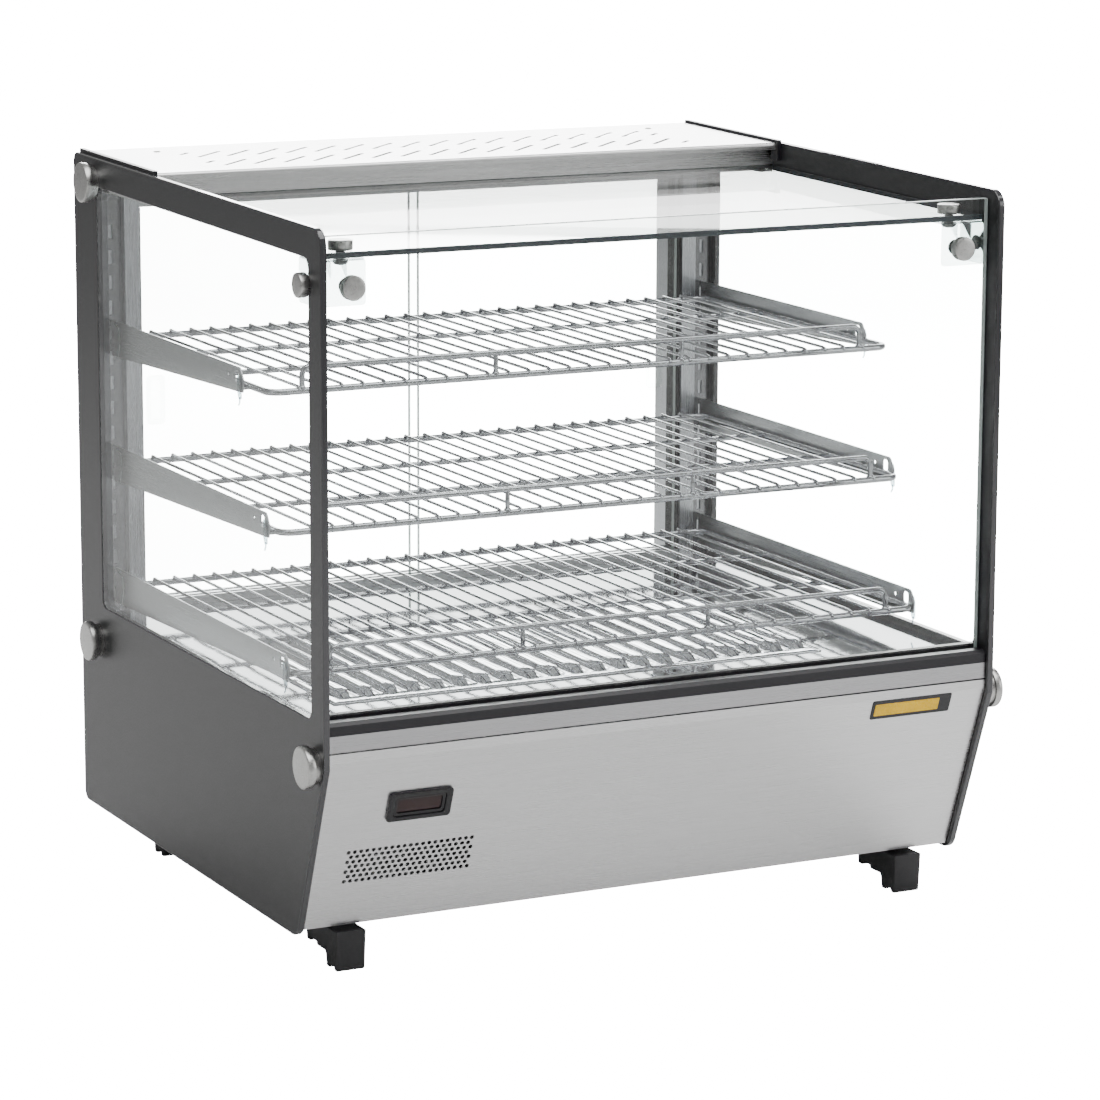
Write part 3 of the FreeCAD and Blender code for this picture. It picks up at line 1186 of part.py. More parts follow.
node(group(*switch_bodies), "switch_bodies")

# --------------------------------------------------------------------------------------------
# Checks and export
# --------------------------------------------------------------------------------------------
doc.recompute()
for obj in doc.Objects:
    if "Invalid" in obj.State or "Error" in obj.State:
        raise RuntimeError(f"{obj.Name} ({obj.Label}) failed to recompute: {obj.State}")
labels = [obj.Label for obj in nodes]
if len(set(labels)) != len(labels):
    raise RuntimeError("two pieces share a name")
os.makedirs("parts", exist_ok=True)
for obj in nodes:
    if obj.Shape.isNull() or not obj.Shape.isValid() or obj.Shape.Volume <= 0:
        raise RuntimeError(f"{obj.Label} has no valid solid")
    obj.Shape.exportStep(f"parts/{obj.Label}.step")
print(len(nodes), "pieces written")
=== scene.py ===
"""Countertop bakery display case: studio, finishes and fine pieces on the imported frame. Metres."""
import json
import math

import bmesh
import bpy
from mathutils import Matrix, Quaternion, Vector


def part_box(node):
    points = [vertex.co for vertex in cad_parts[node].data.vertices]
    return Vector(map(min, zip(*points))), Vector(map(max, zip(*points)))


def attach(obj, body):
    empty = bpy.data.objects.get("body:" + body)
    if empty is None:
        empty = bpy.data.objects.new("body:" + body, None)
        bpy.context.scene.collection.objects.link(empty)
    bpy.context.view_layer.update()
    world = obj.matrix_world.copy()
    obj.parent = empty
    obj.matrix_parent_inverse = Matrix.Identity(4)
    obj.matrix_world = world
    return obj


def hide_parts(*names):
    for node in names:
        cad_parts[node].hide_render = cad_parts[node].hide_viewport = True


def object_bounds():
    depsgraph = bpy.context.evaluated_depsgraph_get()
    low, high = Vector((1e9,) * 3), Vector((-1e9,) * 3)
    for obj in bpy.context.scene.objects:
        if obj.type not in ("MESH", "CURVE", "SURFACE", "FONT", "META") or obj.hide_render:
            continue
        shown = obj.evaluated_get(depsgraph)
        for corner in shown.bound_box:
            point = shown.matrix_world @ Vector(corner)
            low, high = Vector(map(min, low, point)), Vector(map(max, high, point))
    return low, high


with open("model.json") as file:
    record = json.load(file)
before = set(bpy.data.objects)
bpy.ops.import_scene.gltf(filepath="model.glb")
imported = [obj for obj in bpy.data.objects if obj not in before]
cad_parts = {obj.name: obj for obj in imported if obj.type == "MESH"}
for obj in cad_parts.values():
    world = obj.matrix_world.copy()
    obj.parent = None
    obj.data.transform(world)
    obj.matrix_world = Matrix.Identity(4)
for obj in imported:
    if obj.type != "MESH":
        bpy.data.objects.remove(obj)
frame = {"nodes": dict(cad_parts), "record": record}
cad_low, cad_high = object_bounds()

nodes = frame["nodes"]

CAMERA_PLACE = (-1.68387, -3.41408, 1.07933)
CAMERA_YAW, CAMERA_PITCH, CAMERA_ROLL = 26.598, 11.529, 0.229
CAMERA_LENS = 137.88
BACKDROP_GLOW = 20.0
ROOM_GLOW = 0.36


# ---- Camera, light and floor ----
def make_camera():
    """A long lens at the front left, a little above the case."""
    data = bpy.data.cameras.new("camera")
    data.lens = CAMERA_LENS
    data.sensor_width = 36.0
    data.clip_end = 50.0
    camera = bpy.data.objects.new("camera", data)
    camera.location = CAMERA_PLACE
    yaw, pitch, roll = (math.radians(angle) for angle in (CAMERA_YAW, CAMERA_PITCH, CAMERA_ROLL))
    turn = Matrix.Rotation(-yaw, 3, "Z") @ Matrix.Rotation(math.pi / 2 - pitch, 3, "X")
    camera.rotation_euler = (turn @ Matrix.Rotation(roll, 3, "Z")).to_euler()
    bpy.context.scene.collection.objects.link(camera)
    bpy.context.scene.camera = camera


def soft_light(name, place, aim, width, height, glow):
    """One rectangular soft box of a given brightness, out of the camera's sight."""
    data = bpy.data.lights.new(name, "AREA")
    data.shape = "RECTANGLE"
    data.size, data.size_y = width, height
    data.energy = glow * math.pi * width * height
    light = bpy.data.objects.new(name, data)
    light.location = place
    light.rotation_euler = (Vector(aim) - Vector(place)).to_track_quat("-Z", "Y").to_euler()
    light.visible_camera = False
    bpy.context.scene.collection.objects.link(light)


def make_lights():
    """A wall behind with a brighter box above it, one overhead and two tall boxes beside the camera."""
    soft_light("back_wall", (1.5, 2.7, 0.62), (0.3, 0.0, 0.5), 2.8, 1.0, 5.0)
    soft_light("high_back", (1.6, 2.7, 1.62), (0.2, 0.0, 0.6), 2.3, 0.95, 16.0)
    soft_light("overhead", (0.2, -1.0, 3.0), (0.0, -0.6, 0.0), 3.0, 2.6, 3.4)
    soft_light("left_box", (-3.0, -1.6, 1.5), (0.0, 0.0, 0.4), 1.2, 2.0, 0.9)
    soft_light("right_box", (2.6, -2.6, 1.3), (0.0, 0.0, 0.3), 1.4, 2.0, 2.2)


def make_world():
    """An even bright studio: the backdrop is whiter than the light it gives."""
    world = bpy.data.worlds.new("studio")
    world.use_nodes = True
    tree = world.node_tree
    white = (1.0, 1.0, 1.0, 1.0)
    room = tree.nodes["Background"]
    room.inputs["Color"].default_value = white
    room.inputs["Strength"].default_value = ROOM_GLOW
    backdrop = new_node(tree, "ShaderNodeBackground", {"Color": white, "Strength": BACKDROP_GLOW}, {})
    sight = new_node(tree, "ShaderNodeLightPath", {}, {}).outputs["Is Camera Ray"]
    mix = new_node(tree, "ShaderNodeMixShader", {0: sight, 1: room.outputs[0], 2: backdrop.outputs[0]}, {})
    tree.links.new(mix.outputs[0], tree.nodes["World Output"].inputs["Surface"])
    bpy.context.scene.world = world


# ---- Materials ----
def new_node(tree, kind, values, settings):
    """A node with its settings made, and each input set to a value or linked to an output."""
    item = tree.nodes.new(kind)
    for key, value in settings.items():
        setattr(item, key, value)
    for key, value in values.items():
        if hasattr(value, "is_output"):
            tree.links.new(value, item.inputs[key])
        else:
            item.inputs[key].default_value = value
    return item


class Recipe:
    """A material's node tree with short calls to add and join nodes."""

    def __init__(self, name):
        self.material = bpy.data.materials.new(name)
        self.material.use_nodes = True
        self.tree = self.material.node_tree
        self.tree.nodes.clear()
        self.output = self.tree.nodes.new("ShaderNodeOutputMaterial")

    def add(self, kind, values=None, **settings):
        return new_node(self.tree, "ShaderNode" + kind, values or {}, settings)

    def place(self, scale=(1.0, 1.0, 1.0), turn=(0.0, 0.0, 0.0)):
        """Object coordinates, stretched for grain that runs one way."""
        where = self.add("TexCoord").outputs["Object"]
        return self.add("Mapping", {"Vector": where, "Scale": scale, "Rotation": turn}).outputs["Vector"]

    def noise(self, where, scale, detail=4.0, rough=0.55):
        return self.add("TexNoise", {"Vector": where, "Scale": scale, "Detail": detail,
                                     "Roughness": rough}).outputs["Fac"]

    def ramp(self, value, low, high, at=(0.3, 0.7)):
        """Spread a 0 to 1 value between two numbers."""
        return self.add("MapRange", {"Value": value, "From Min": at[0], "From Max": at[1],
                                     "To Min": low, "To Max": high}).outputs["Result"]

    def tint(self, value, dark, light, at=(0.3, 0.7)):
        share = self.ramp(value, 0.0, 1.0, at)
        mix = self.add("Mix", {"Factor": share}, data_type="RGBA")
        for socket in mix.inputs:
            if socket.type == "RGBA":
                socket.default_value = (*(dark if socket.name == "A" else light), 1.0)
        return next(socket for socket in mix.outputs if socket.type == "RGBA")

    def bump(self, value, depth, strength=1.0):
        relief = self.add("Bump", {"Height": value, "Distance": depth, "Strength": strength})
        return relief.outputs["Normal"]

    def cover(self, shader):
        """Put a shader on the surface and return the material."""
        self.tree.links.new(shader, self.output.inputs["Surface"])
        return self.material

    def skin(self, **values):
        """Finish with one Principled shader."""
        inputs = {key.replace("_", " "): value for key, value in values.items()}
        shader = self.add("BsdfPrincipled", inputs)
        return self.cover(shader.outputs["BSDF"])


def shade(tone, share):
    return [channel * share for channel in tone]


GRAIN_ACROSS, GRAIN_BACK, GRAIN_UP = (1.5, 260.0, 260.0), (260.0, 1.5, 260.0), (260.0, 260.0, 1.5)


def brushed_steel(name, tone, grain=GRAIN_ACROSS, smooth=0.28, depth=0.00004):
    """Stainless with fine brush lines along one direction."""
    recipe = Recipe(name)
    lines = recipe.noise(recipe.place(grain), 9.0, 6.0, 0.6)
    cloud = recipe.noise(recipe.place(), 5.0, 3.0)
    colour = recipe.tint(lines, shade(tone, 0.93), shade(tone, 1.05))
    rough = recipe.add("Math", {0: recipe.ramp(lines, smooth - 0.05, smooth + 0.06),
                                1: recipe.ramp(cloud, -0.02, 0.03)}, operation="ADD").outputs[0]
    return recipe.skin(Base_Color=colour, Metallic=1.0, Roughness=rough, Normal=recipe.bump(lines, depth))


def turned_steel(name):
    """Satin turned end faces of caps, with rings that the lathe leaves."""
    recipe = Recipe(name)
    swirl = recipe.noise(recipe.place((420.0, 420.0, 420.0)), 1.0, 3.0)
    colour = recipe.tint(swirl, (0.50, 0.50, 0.485), (0.60, 0.60, 0.58))
    return recipe.skin(Base_Color=colour, Metallic=1.0, Roughness=recipe.ramp(swirl, 0.26, 0.38),
                       Normal=recipe.bump(swirl, 0.00003))


def bright_steel(name, tone=(0.80, 0.81, 0.82), low=0.04, high=0.12):
    """Polished sheet with faint rolling waves."""
    recipe = Recipe(name)
    wave = recipe.noise(recipe.place((1.0, 2.5, 1.0)), 7.0, 3.0)
    fine = recipe.noise(recipe.place((300.0, 20.0, 300.0)), 1.5, 4.0)
    colour = recipe.tint(fine, shade(tone, 0.96), tone)
    return recipe.skin(Base_Color=colour, Metallic=1.0, Roughness=recipe.ramp(fine, low, high),
                       Normal=recipe.bump(wave, 0.0004, 0.4))


def chrome_wire(name):
    """Bright plating with slight ripple."""
    recipe = Recipe(name)
    ripple = recipe.noise(recipe.place(), 160.0, 3.0)
    colour = recipe.tint(ripple, (0.40, 0.41, 0.43), (0.52, 0.53, 0.55))
    return recipe.skin(Base_Color=colour, Metallic=1.0, Roughness=recipe.ramp(ripple, 0.08, 0.16),
                       Normal=recipe.bump(ripple, 0.00008))


def moulded_plastic(name, tone, low, high, grain=900.0, depth=0.00004):
    """Plastic with a fine moulded grain."""
    recipe = Recipe(name)
    spots = recipe.noise(recipe.place(), grain, 2.0)
    cloud = recipe.noise(recipe.place(), 30.0, 3.0)
    colour = recipe.tint(cloud, shade(tone, 0.85), shade(tone, 1.15))
    return recipe.skin(Base_Color=colour, Roughness=recipe.ramp(spots, low, high),
                       Normal=recipe.bump(spots, depth))


def printed_border(name, tone, low, high, coat):
    """Black enamel on glass, under a clear coat."""
    recipe = Recipe(name)
    cloud = recipe.noise(recipe.place(), 3.0, 2.0)
    fine = recipe.noise(recipe.place(), 700.0, 2.0)
    colour = recipe.tint(cloud, shade(tone, 0.88), shade(tone, 1.12))
    return recipe.skin(Base_Color=colour, Roughness=recipe.ramp(fine, low, high), Coat_Weight=coat,
                       Coat_Roughness=low * 0.7, Normal=recipe.bump(fine, 0.00001))


def clear_pane(name, tint=(0.985, 0.995, 0.99), least=0.04):
    """Thin clear glass: what is behind shows straight through, with a mirror that grows at a low angle."""
    recipe = Recipe(name)
    smear = recipe.noise(recipe.place((2.0, 2.0, 1.0)), 4.0, 3.0)
    colour = recipe.tint(smear, shade(tint, 0.99), tint)
    through = recipe.add("BsdfTransparent", {"Color": colour})
    mirror = recipe.add("BsdfGlossy", {"Roughness": recipe.ramp(smear, 0.0, 0.03)})
    facing = recipe.add("LayerWeight", {"Blend": 0.5}).outputs["Facing"]
    grown = recipe.add("Math", {0: facing, 1: 5.0}, operation="POWER").outputs[0]
    share = recipe.add("Math", {0: grown, 1: 1.0 - least, 2: least}, operation="MULTIPLY_ADD").outputs[0]
    mix = recipe.add("MixShader", {0: share, 1: through.outputs[0], 2: mirror.outputs[0]})
    return recipe.cover(mix.outputs[0])


def pane_edge(name, tone, clear):
    """Ground edge of a pane, where the glass shows its depth of colour."""
    recipe = Recipe(name)
    depth = recipe.noise(recipe.place(), 25.0, 3.0)
    colour = recipe.tint(depth, shade(tone, 0.8), tone)
    through = recipe.add("BsdfTransparent", {"Color": colour})
    rough = recipe.ramp(depth, 0.08, 0.2)
    ground = recipe.add("BsdfPrincipled", {"Base Color": colour, "Roughness": rough})
    mix = recipe.add("MixShader", {0: clear, 1: ground.outputs[0], 2: through.outputs[0]})
    return recipe.cover(mix.outputs[0])


FINISHES = {
    "clear_glass": clear_pane("clear_glass_face"),
    "black_border": printed_border("black_enamel", (0.016, 0.016, 0.018), 0.34, 0.42, 0.15),
    "clear_plastic": clear_pane("clear_moulding", (0.80, 0.83, 0.83), 0.12),
    "satin_steel": turned_steel("turned_cap_steel"),
    "brushed_sheet": brushed_steel("brushed_front_steel", (0.80, 0.80, 0.80)),
    "bright_sheet": bright_steel("polished_deck_steel", (0.72, 0.73, 0.75), 0.03, 0.08),
    "satin_plate": brushed_steel("satin_bracket_steel", (0.45, 0.46, 0.47), GRAIN_BACK, 0.30),
    "chrome_wire": chrome_wire("chrome_plating"),
    "black_trim": moulded_plastic("satin_black_trim", (0.012, 0.012, 0.015), 0.30, 0.42),
    "black_plastic": moulded_plastic("grained_black_plastic", (0.020, 0.020, 0.022), 0.42, 0.60),
    "black_gloss_plastic": moulded_plastic("gloss_black_plastic", (0.015, 0.015, 0.017), 0.08, 0.16),
    "black_rubber": moulded_plastic("soft_black_seal", (0.025, 0.025, 0.025), 0.6, 0.8),
    "track_aluminium": brushed_steel("satin_track_aluminium", (0.62, 0.63, 0.64), GRAIN_ACROSS, 0.32),
    "lamp_white": moulded_plastic("white_lamp_glass", (0.85, 0.85, 0.83), 0.1, 0.2),
    "diffuser": moulded_plastic("frosted_lamp_cover", (0.80, 0.80, 0.80), 0.4, 0.5),
    "display_window": moulded_plastic("smoked_window", (0.03, 0.008, 0.008), 0.04, 0.08),
    "badge_amber": moulded_plastic("plain_amber_plate", (0.93, 0.56, 0.0), 0.25, 0.30),
    "white_plastic": moulded_plastic("white_moulding", (0.70, 0.70, 0.67), 0.4, 0.5),
    "heater_steel": brushed_steel("heat_dark_steel", (0.22, 0.20, 0.18), (200.0, 200.0, 200.0), 0.4),
    "rocker_green": moulded_plastic("green_rocker", (0.02, 0.30, 0.06), 0.15, 0.25),
}
GREEN_EDGE = pane_edge("green_glass_edge", (0.055, 0.070, 0.078), 0.0)
PALE_EDGE = pane_edge("pale_glass_edge", (0.55, 0.62, 0.60), 0.06)
# Border edges: the full coat and low roughness are real polish; the base colour, lighter than the enamel
# on the faces (0.030 against 0.016), is a painted highlight line.
BORDER_EDGE = printed_border("glossy_black_edge_painted_highlight", (0.030, 0.030, 0.034), 0.06, 0.12, 1.0)
POST_STEEL = brushed_steel("satin_post_steel", (0.58, 0.59, 0.62), GRAIN_UP, 0.26, 0.00001)
# Painted shade: the front fascia is the same brushed stainless as the front sheet, given a darker tone
# (0.50 against 0.80) that stands in for the shade on it.
FASCIA_PAINTED_SHADE_STEEL = brushed_steel("fascia_steel_painted_shade", (0.50, 0.50, 0.51))
DARK_STRIP = bright_steel("dark_slotted_strip", (0.26, 0.26, 0.27), 0.16, 0.26)
CLIP_PLASTIC = clear_pane("pale_clear_moulding", (0.52, 0.58, 0.60), 0.16)
NODE_FINISHES = {"front_fascia": FASCIA_PAINTED_SHADE_STEEL, "rear_post_left": POST_STEEL, "rear_post_right": POST_STEEL,
                 "shelf_standard_left": DARK_STRIP, "shelf_standard_right": DARK_STRIP}


def dress_nodes():
    """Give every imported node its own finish, or that of its material slot."""
    for row in frame["record"]["subparts"]:
        data = nodes[row["node"]].data
        data.materials.clear()
        data.materials.append(NODE_FINISHES.get(row["node"], FINISHES[row["material_slot"]]))


# ---- Shapes ----
def soften(corners, radii, steps=6):
    """A flat closed outline with its corners rounded."""
    outline = []
    for i, radius in enumerate(radii):
        here = Vector(corners[i])
        before = (Vector(corners[i - 1]) - here).normalized()
        after = (Vector(corners[(i + 1) % len(corners)]) - here).normalized()
        if radius <= 0:
            outline.append(here)
            continue
        half = before.angle(after) / 2
        centre = here + (before + after).normalized() * radius / math.sin(half)
        start = here + before * radius / math.tan(half) - centre
        stop = here + after * radius / math.tan(half) - centre
        first = math.atan2(start.y, start.x)
        sweep = (math.atan2(stop.y, stop.x) - first + math.pi) % (2 * math.pi) - math.pi
        for k in range(steps + 1):
            angle = first + sweep * k / steps
            outline.append(centre + Vector((math.cos(angle), math.sin(angle))) * radius)
    return outline


def around(steps):
    """Cosine and sine of evenly spaced angles."""
    return [(math.cos(2 * math.pi * k / steps), math.sin(2 * math.pi * k / steps)) for k in range(steps)]


def circle(x, y, radius, steps=20):
    return [Vector((x + radius * c, y + radius * s)) for c, s in around(steps)]


def block(x0, y0, x1, y1, radius=0.0, steps=4):
    corners = ((x0, y0), (x1, y0), (x1, y1), (x0, y1))
    return soften(corners, [radius] * 4, steps)


def centred(width, height, draw_x=0.0, draw_y=0.0, radius=0.0, steps=4):
    """A block about the origin, drawn in from its ends by one distance and from its sides by another."""
    x, y = width / 2 - draw_x, height / 2 - draw_y
    return block(-x, -y, x, y, radius, steps)


def turning(outline, way):
    """The outline, run counter-clockwise for way 1 and clockwise for way -1."""
    area = sum(outline[i - 1].x * p.y - p.x * outline[i - 1].y for i, p in enumerate(outline))
    return outline if area * way > 0 else outline[::-1]


def drawn_in(outline, distance):
    """Move each point of an outline into the sheet by a distance."""
    moved = []
    for i, here in enumerate(outline):
        before = (here - outline[i - 1]).normalized()
        after = (outline[(i + 1) % len(outline)] - here).normalized()
        left = Vector((-before.y - after.y, before.x + after.x)).normalized()
        moved.append(here + left * distance / max(left.dot(Vector((-before.y, before.x))), 0.3))
    return moved


def plate(bm, outer, holes, thick, edge, lay, edge_slot=0, segments=2):
    """A sheet of any outline with rounded edges, drawn in its own plane and laid in place by a matrix."""
    rims = ([], [])
    for contour in [turning(outer, 1)] + [turning(hole, -1) for hole in holes]:
        loops = []
        for side in (0, 1):
            for k in range(segments + 1):
                angle = math.pi / 2 * (k if side == 0 else segments - k) / segments
                rise = edge * (1 - math.cos(angle))
                points = drawn_in(contour, edge * (1 - math.sin(angle)))
                level = rise if side == 0 else thick - rise
                loops.append([bm.verts.new(lay @ Vector((p.x, p.y, level))) for p in points])
        count = len(contour)
        for low, high in zip(loops, loops[1:]):
            for i in range(count):
                j = (i + 1) % count
                bm.faces.new((low[i], low[j], high[j], high[i])).material_index = edge_slot
        for side, loop in ((0, loops[0]), (1, loops[-1])):
            rims[side].extend(bm.edges.get((loop[i], loop[(i + 1) % count])) for i in range(count))
    for rim in rims:
        bmesh.ops.triangle_fill(bm, use_beauty=True, use_dissolve=False, edges=rim)


def bent(points, radius, steps=5, closed=False):
    """A path with its corners rounded."""
    path = []
    for i, point in enumerate(points):
        here = Vector(point)
        if not closed and i in (0, len(points) - 1):
            path.append(here)
            continue
        before = (Vector(points[i - 1]) - here).normalized()
        after = (Vector(points[(i + 1) % len(points)]) - here).normalized()
        half = before.angle(after) / 2
        centre = here + (before + after).normalized() * radius / math.sin(half)
        start = here + before * radius / math.tan(half) - centre
        stop = here + after * radius / math.tan(half) - centre
        turn = start.rotation_difference(stop)
        for k in range(steps + 1):
            path.append(centre + Quaternion().slerp(turn, k / steps) @ start)
    return path


def bar(bm, path, radius, sides=10, closed=False):
    """A round bar along a path, with domed ends."""
    count = len(path)
    side = None
    rings = []

    def ring(centre, along, size):
        across = (side - along * side.dot(along)).normalized()
        other = along.cross(across)
        return [bm.verts.new(centre + (across * c + other * s) * size) for c, s in around(sides)]

    for i, here in enumerate(path):
        before = path[i - 1] if closed or i else here
        after = path[(i + 1) % count] if closed or i < count - 1 else here
        along = (after - before).normalized()
        if side is None:
            side = along.orthogonal().normalized()
        side = (side - along * side.dot(along)).normalized()
        if not closed and i == 0:
            rings.append(ring(here - along * radius * 0.45, along, radius * 0.6))
        rings.append(ring(here, along, radius))
        if not closed and i == count - 1:
            rings.append(ring(here + along * radius * 0.45, along, radius * 0.6))
    pairs = list(zip(rings, rings[1:]))
    if closed:
        last, first = rings[-1], rings[0]
        shift = min(range(sides), key=lambda k: (first[k].co - last[0].co).length)
        pairs.append((last, first[shift:] + first[:shift]))
    else:
        bm.faces.new(rings[0][::-1])
        bm.faces.new(rings[-1])
    for low, high in pairs:
        for k in range(sides):
            bm.faces.new((low[k], low[(k + 1) % sides], high[(k + 1) % sides], high[k]))


ON_AXIS = 1e-7


def turned(bm, profile, steps, lay):
    """Spin (radius, height) pairs: a line between two points on the axis, or a closed ring off it."""
    rings = []
    for radius, rise in profile:
        places = [(0.0, 0.0)] if radius < ON_AXIS else [(radius * c, radius * s) for c, s in around(steps)]
        rings.append([bm.verts.new(lay @ Vector((x, y, rise))) for x, y in places])
    pairs = list(zip(rings, rings[1:]))
    if profile[0][0] > ON_AXIS:
        pairs.append((rings[-1], rings[0]))
    for low, high in pairs:
        for k in range(steps):
            j = (k + 1) % steps
            quad = (low[k % len(low)], low[j % len(low)], high[j % len(high)], high[k % len(high)])
            bm.faces.new(list(dict.fromkeys(quad)))


def lay_x(x, y=0.0, z=0.0):
    """Plane coordinates (Y, Z) with the thickness along +X."""
    return Matrix(((0, 0, 1, x), (1, 0, 0, y), (0, 1, 0, z), (0, 0, 0, 1)))


def lay_y(x, y, z):
    """Plane coordinates (X, Z) with the thickness along -Y."""
    return Matrix(((1, 0, 0, x), (0, 0, -1, y), (0, 1, 0, z), (0, 0, 0, 1)))


def lay_z(x=0.0, y=0.0, z=0.0):
    """Plane coordinates (X, Y) with the thickness along +Z."""
    return Matrix.Translation((x, y, z))


def settle(name, mesh, body, stands_for, smooth=20.0):
    """Make a finished piece of a mesh: smooth shading, body and the nodes it stands for."""
    mesh.name = name
    mesh.polygons.foreach_set("use_smooth", [True] * len(mesh.polygons))
    mesh.set_sharp_from_angle(angle=math.radians(smooth))
    obj = bpy.data.objects.new(name, mesh)
    bpy.context.scene.collection.objects.link(obj)
    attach(obj, body)
    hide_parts(*stands_for)


def plain_mesh(name, bm):
    """The drawn shape as a mesh whose faces point outwards."""
    bmesh.ops.recalc_face_normals(bm, faces=bm.faces[:])
    mesh = bpy.data.meshes.new(name)
    bm.to_mesh(mesh)
    bm.free()
    return mesh


def finished(name, bm, body, slot, stands_for, smooth=20.0, finishes=()):
    """A finished piece of one drawn shape, in the finish of its slot or in its own ones."""
    mesh = plain_mesh(name, bm)
    for finish in finishes or (FINISHES[slot],):
        mesh.materials.append(finish)
    settle(name, mesh, body, stands_for, smooth)


# ---- Geometry node trees ----
class Grower:
    """A geometry node tree with named inputs that ends in realised, finished geometry."""

    def __init__(self, name, sockets):
        self.tree = bpy.data.node_groups.new(name, "GeometryNodeTree")
        face = self.tree.interface
        face.new_socket(name="Geometry", in_out="OUTPUT", socket_type="NodeSocketGeometry")
        face.new_socket(name="Geometry", in_out="INPUT", socket_type="NodeSocketGeometry")
        self.keys = {}
        for label, kind in sockets:
            socket = face.new_socket(name=label, in_out="INPUT", socket_type="NodeSocket" + kind)
            self.keys[label] = socket.identifier
        self.source = self.tree.nodes.new("NodeGroupInput")
        self.sink = self.tree.nodes.new("NodeGroupOutput")

    def given(self, label):
        return self.source.outputs[label]

    def add(self, kind, values=None, **settings):
        return new_node(self.tree, kind, values or {}, settings)

    def close(self, instances):
        real = self.add("GeometryNodeRealizeInstances", {"Geometry": instances})
        done = self.add("GeometryNodeSetMaterial",
                        {"Geometry": real.outputs[0], "Material": self.given("Finish")})
        self.tree.links.new(done.outputs[0], self.sink.inputs[0])

    def grow(self, mesh, **values):
        """Run the tree on a mesh and return the plain result."""
        host = bpy.data.objects.new("host", mesh)
        bpy.context.scene.collection.objects.link(host)
        modifier = host.modifiers.new("grow", "NODES")
        modifier.node_group = self.tree
        for label, value in values.items():
            modifier[self.keys[label.replace("_", " ")]] = value
        depsgraph = bpy.context.evaluated_depsgraph_get()
        result = bpy.data.meshes.new_from_object(host.evaluated_get(depsgraph), depsgraph=depsgraph)
        bpy.data.objects.remove(host)
        return result


def spread_tree():
    """Sets one shape out on points, each turned by its own angles."""
    tree = Grower("spread_shapes", (("Shape", "Object"), ("Finish", "Material")))
    shape = tree.add("GeometryNodeObjectInfo", {"Object": tree.given("Shape")})
    turn = tree.add("GeometryNodeInputNamedAttribute", {"Name": "turn"}, data_type="FLOAT_VECTOR")
    angles = tree.add("FunctionNodeEulerToRotation", {"Euler": turn.outputs["Attribute"]})
    copies = tree.add("GeometryNodeInstanceOnPoints", {
        "Points": tree.given("Geometry"), "Instance": shape.outputs["Geometry"],
        "Rotation": angles.outputs[0]})
    tree.close(copies.outputs[0])
    return tree


def wire_tree():
    """Makes round wire of a drawn path and repeats it across a shelf."""
    tree = Grower("wire_row", (("Wire radius", "Float"), ("Sides", "Int"), ("Count", "Int"),
                               ("Pitch", "Float"), ("First", "Float"), ("Finish", "Material")))
    line = tree.add("GeometryNodeMeshToCurve", {"Mesh": tree.given("Geometry")})
    ring = tree.add("GeometryNodeCurvePrimitiveCircle",
                    {"Resolution": tree.given("Sides"), "Radius": tree.given("Wire radius")})
    wire = tree.add("GeometryNodeCurveToMesh", {
        "Curve": line.outputs[0], "Profile Curve": ring.outputs["Curve"], "Fill Caps": True})
    first = tree.add("ShaderNodeCombineXYZ", {"X": tree.given("First")})
    step = tree.add("ShaderNodeCombineXYZ", {"X": tree.given("Pitch")})
    row = tree.add("GeometryNodeMeshLine", {
        "Count": tree.given("Count"), "Start Location": first.outputs[0], "Offset": step.outputs[0]},
        mode="OFFSET")
    copies = tree.add("GeometryNodeInstanceOnPoints",
                      {"Points": row.outputs[0], "Instance": wire.outputs[0]})
    tree.close(copies.outputs[0])
    return tree


SPREAD = spread_tree()
WIRES = wire_tree()


def path_mesh(path):
    mesh = bpy.data.meshes.new("path")
    mesh.from_pydata([tuple(p) for p in path], [(i, i + 1) for i in range(len(path) - 1)], [])
    return mesh


def set_out(bm, spots, finish):
    """Copies of one shape on (place, turn) spots, as one plain mesh."""
    pattern = bpy.data.objects.new("pattern", plain_mesh("pattern", bm))
    bpy.context.scene.collection.objects.link(pattern)
    points = bpy.data.meshes.new("spots")
    points.from_pydata([tuple(place) for place, _ in spots], [], [])
    turns = points.attributes.new("turn", "FLOAT_VECTOR", "POINT")
    turns.data.foreach_set("vector", [angle for _, turn in spots for angle in turn])
    mesh = SPREAD.grow(points, Shape=pattern, Finish=finish)
    bpy.data.objects.remove(pattern)
    return mesh


def copied(name, bm, spots, slot, stands_for, smooth=20.0):
    """A finished piece of the fixed case, made of copies of one shape."""
    settle(name, set_out(bm, spots, FINISHES[slot]), "case", stands_for, smooth)


# ---- Panes and black borders ----
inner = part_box("side_glass_right")[0].x
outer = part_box("side_border_right")[1].x
front = cad_low.y
rear = cad_high.y
KINK = 0.196
TOE = 0.0601
FRONT_TOP = 0.6496
PANE = 0.005
WINDOW_LOW = 0.2348
WINDOW_FRONT, WINDOW_REAR, WINDOW_TOP = 0.026, 0.0577, 0.0269
BACK_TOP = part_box("side_border_left")[1].z
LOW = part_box("side_border_left")[0].z
ROOF = (BACK_TOP - FRONT_TOP) / (rear - front)


def side_corners(pull):
    """Corners of a side glass, pulled in all round."""
    lean = TOE / (KINK - LOW)
    slant = pull * math.sqrt(1 + lean * lean)
    return ((front + TOE + slant - pull * lean, LOW + pull), (rear - pull, LOW + pull),
            (rear - pull, BACK_TOP - pull * (1 + ROOF)), (front + pull, FRONT_TOP - pull * (1 - ROOF)),
            (front + pull, KINK + (slant - pull) / lean))


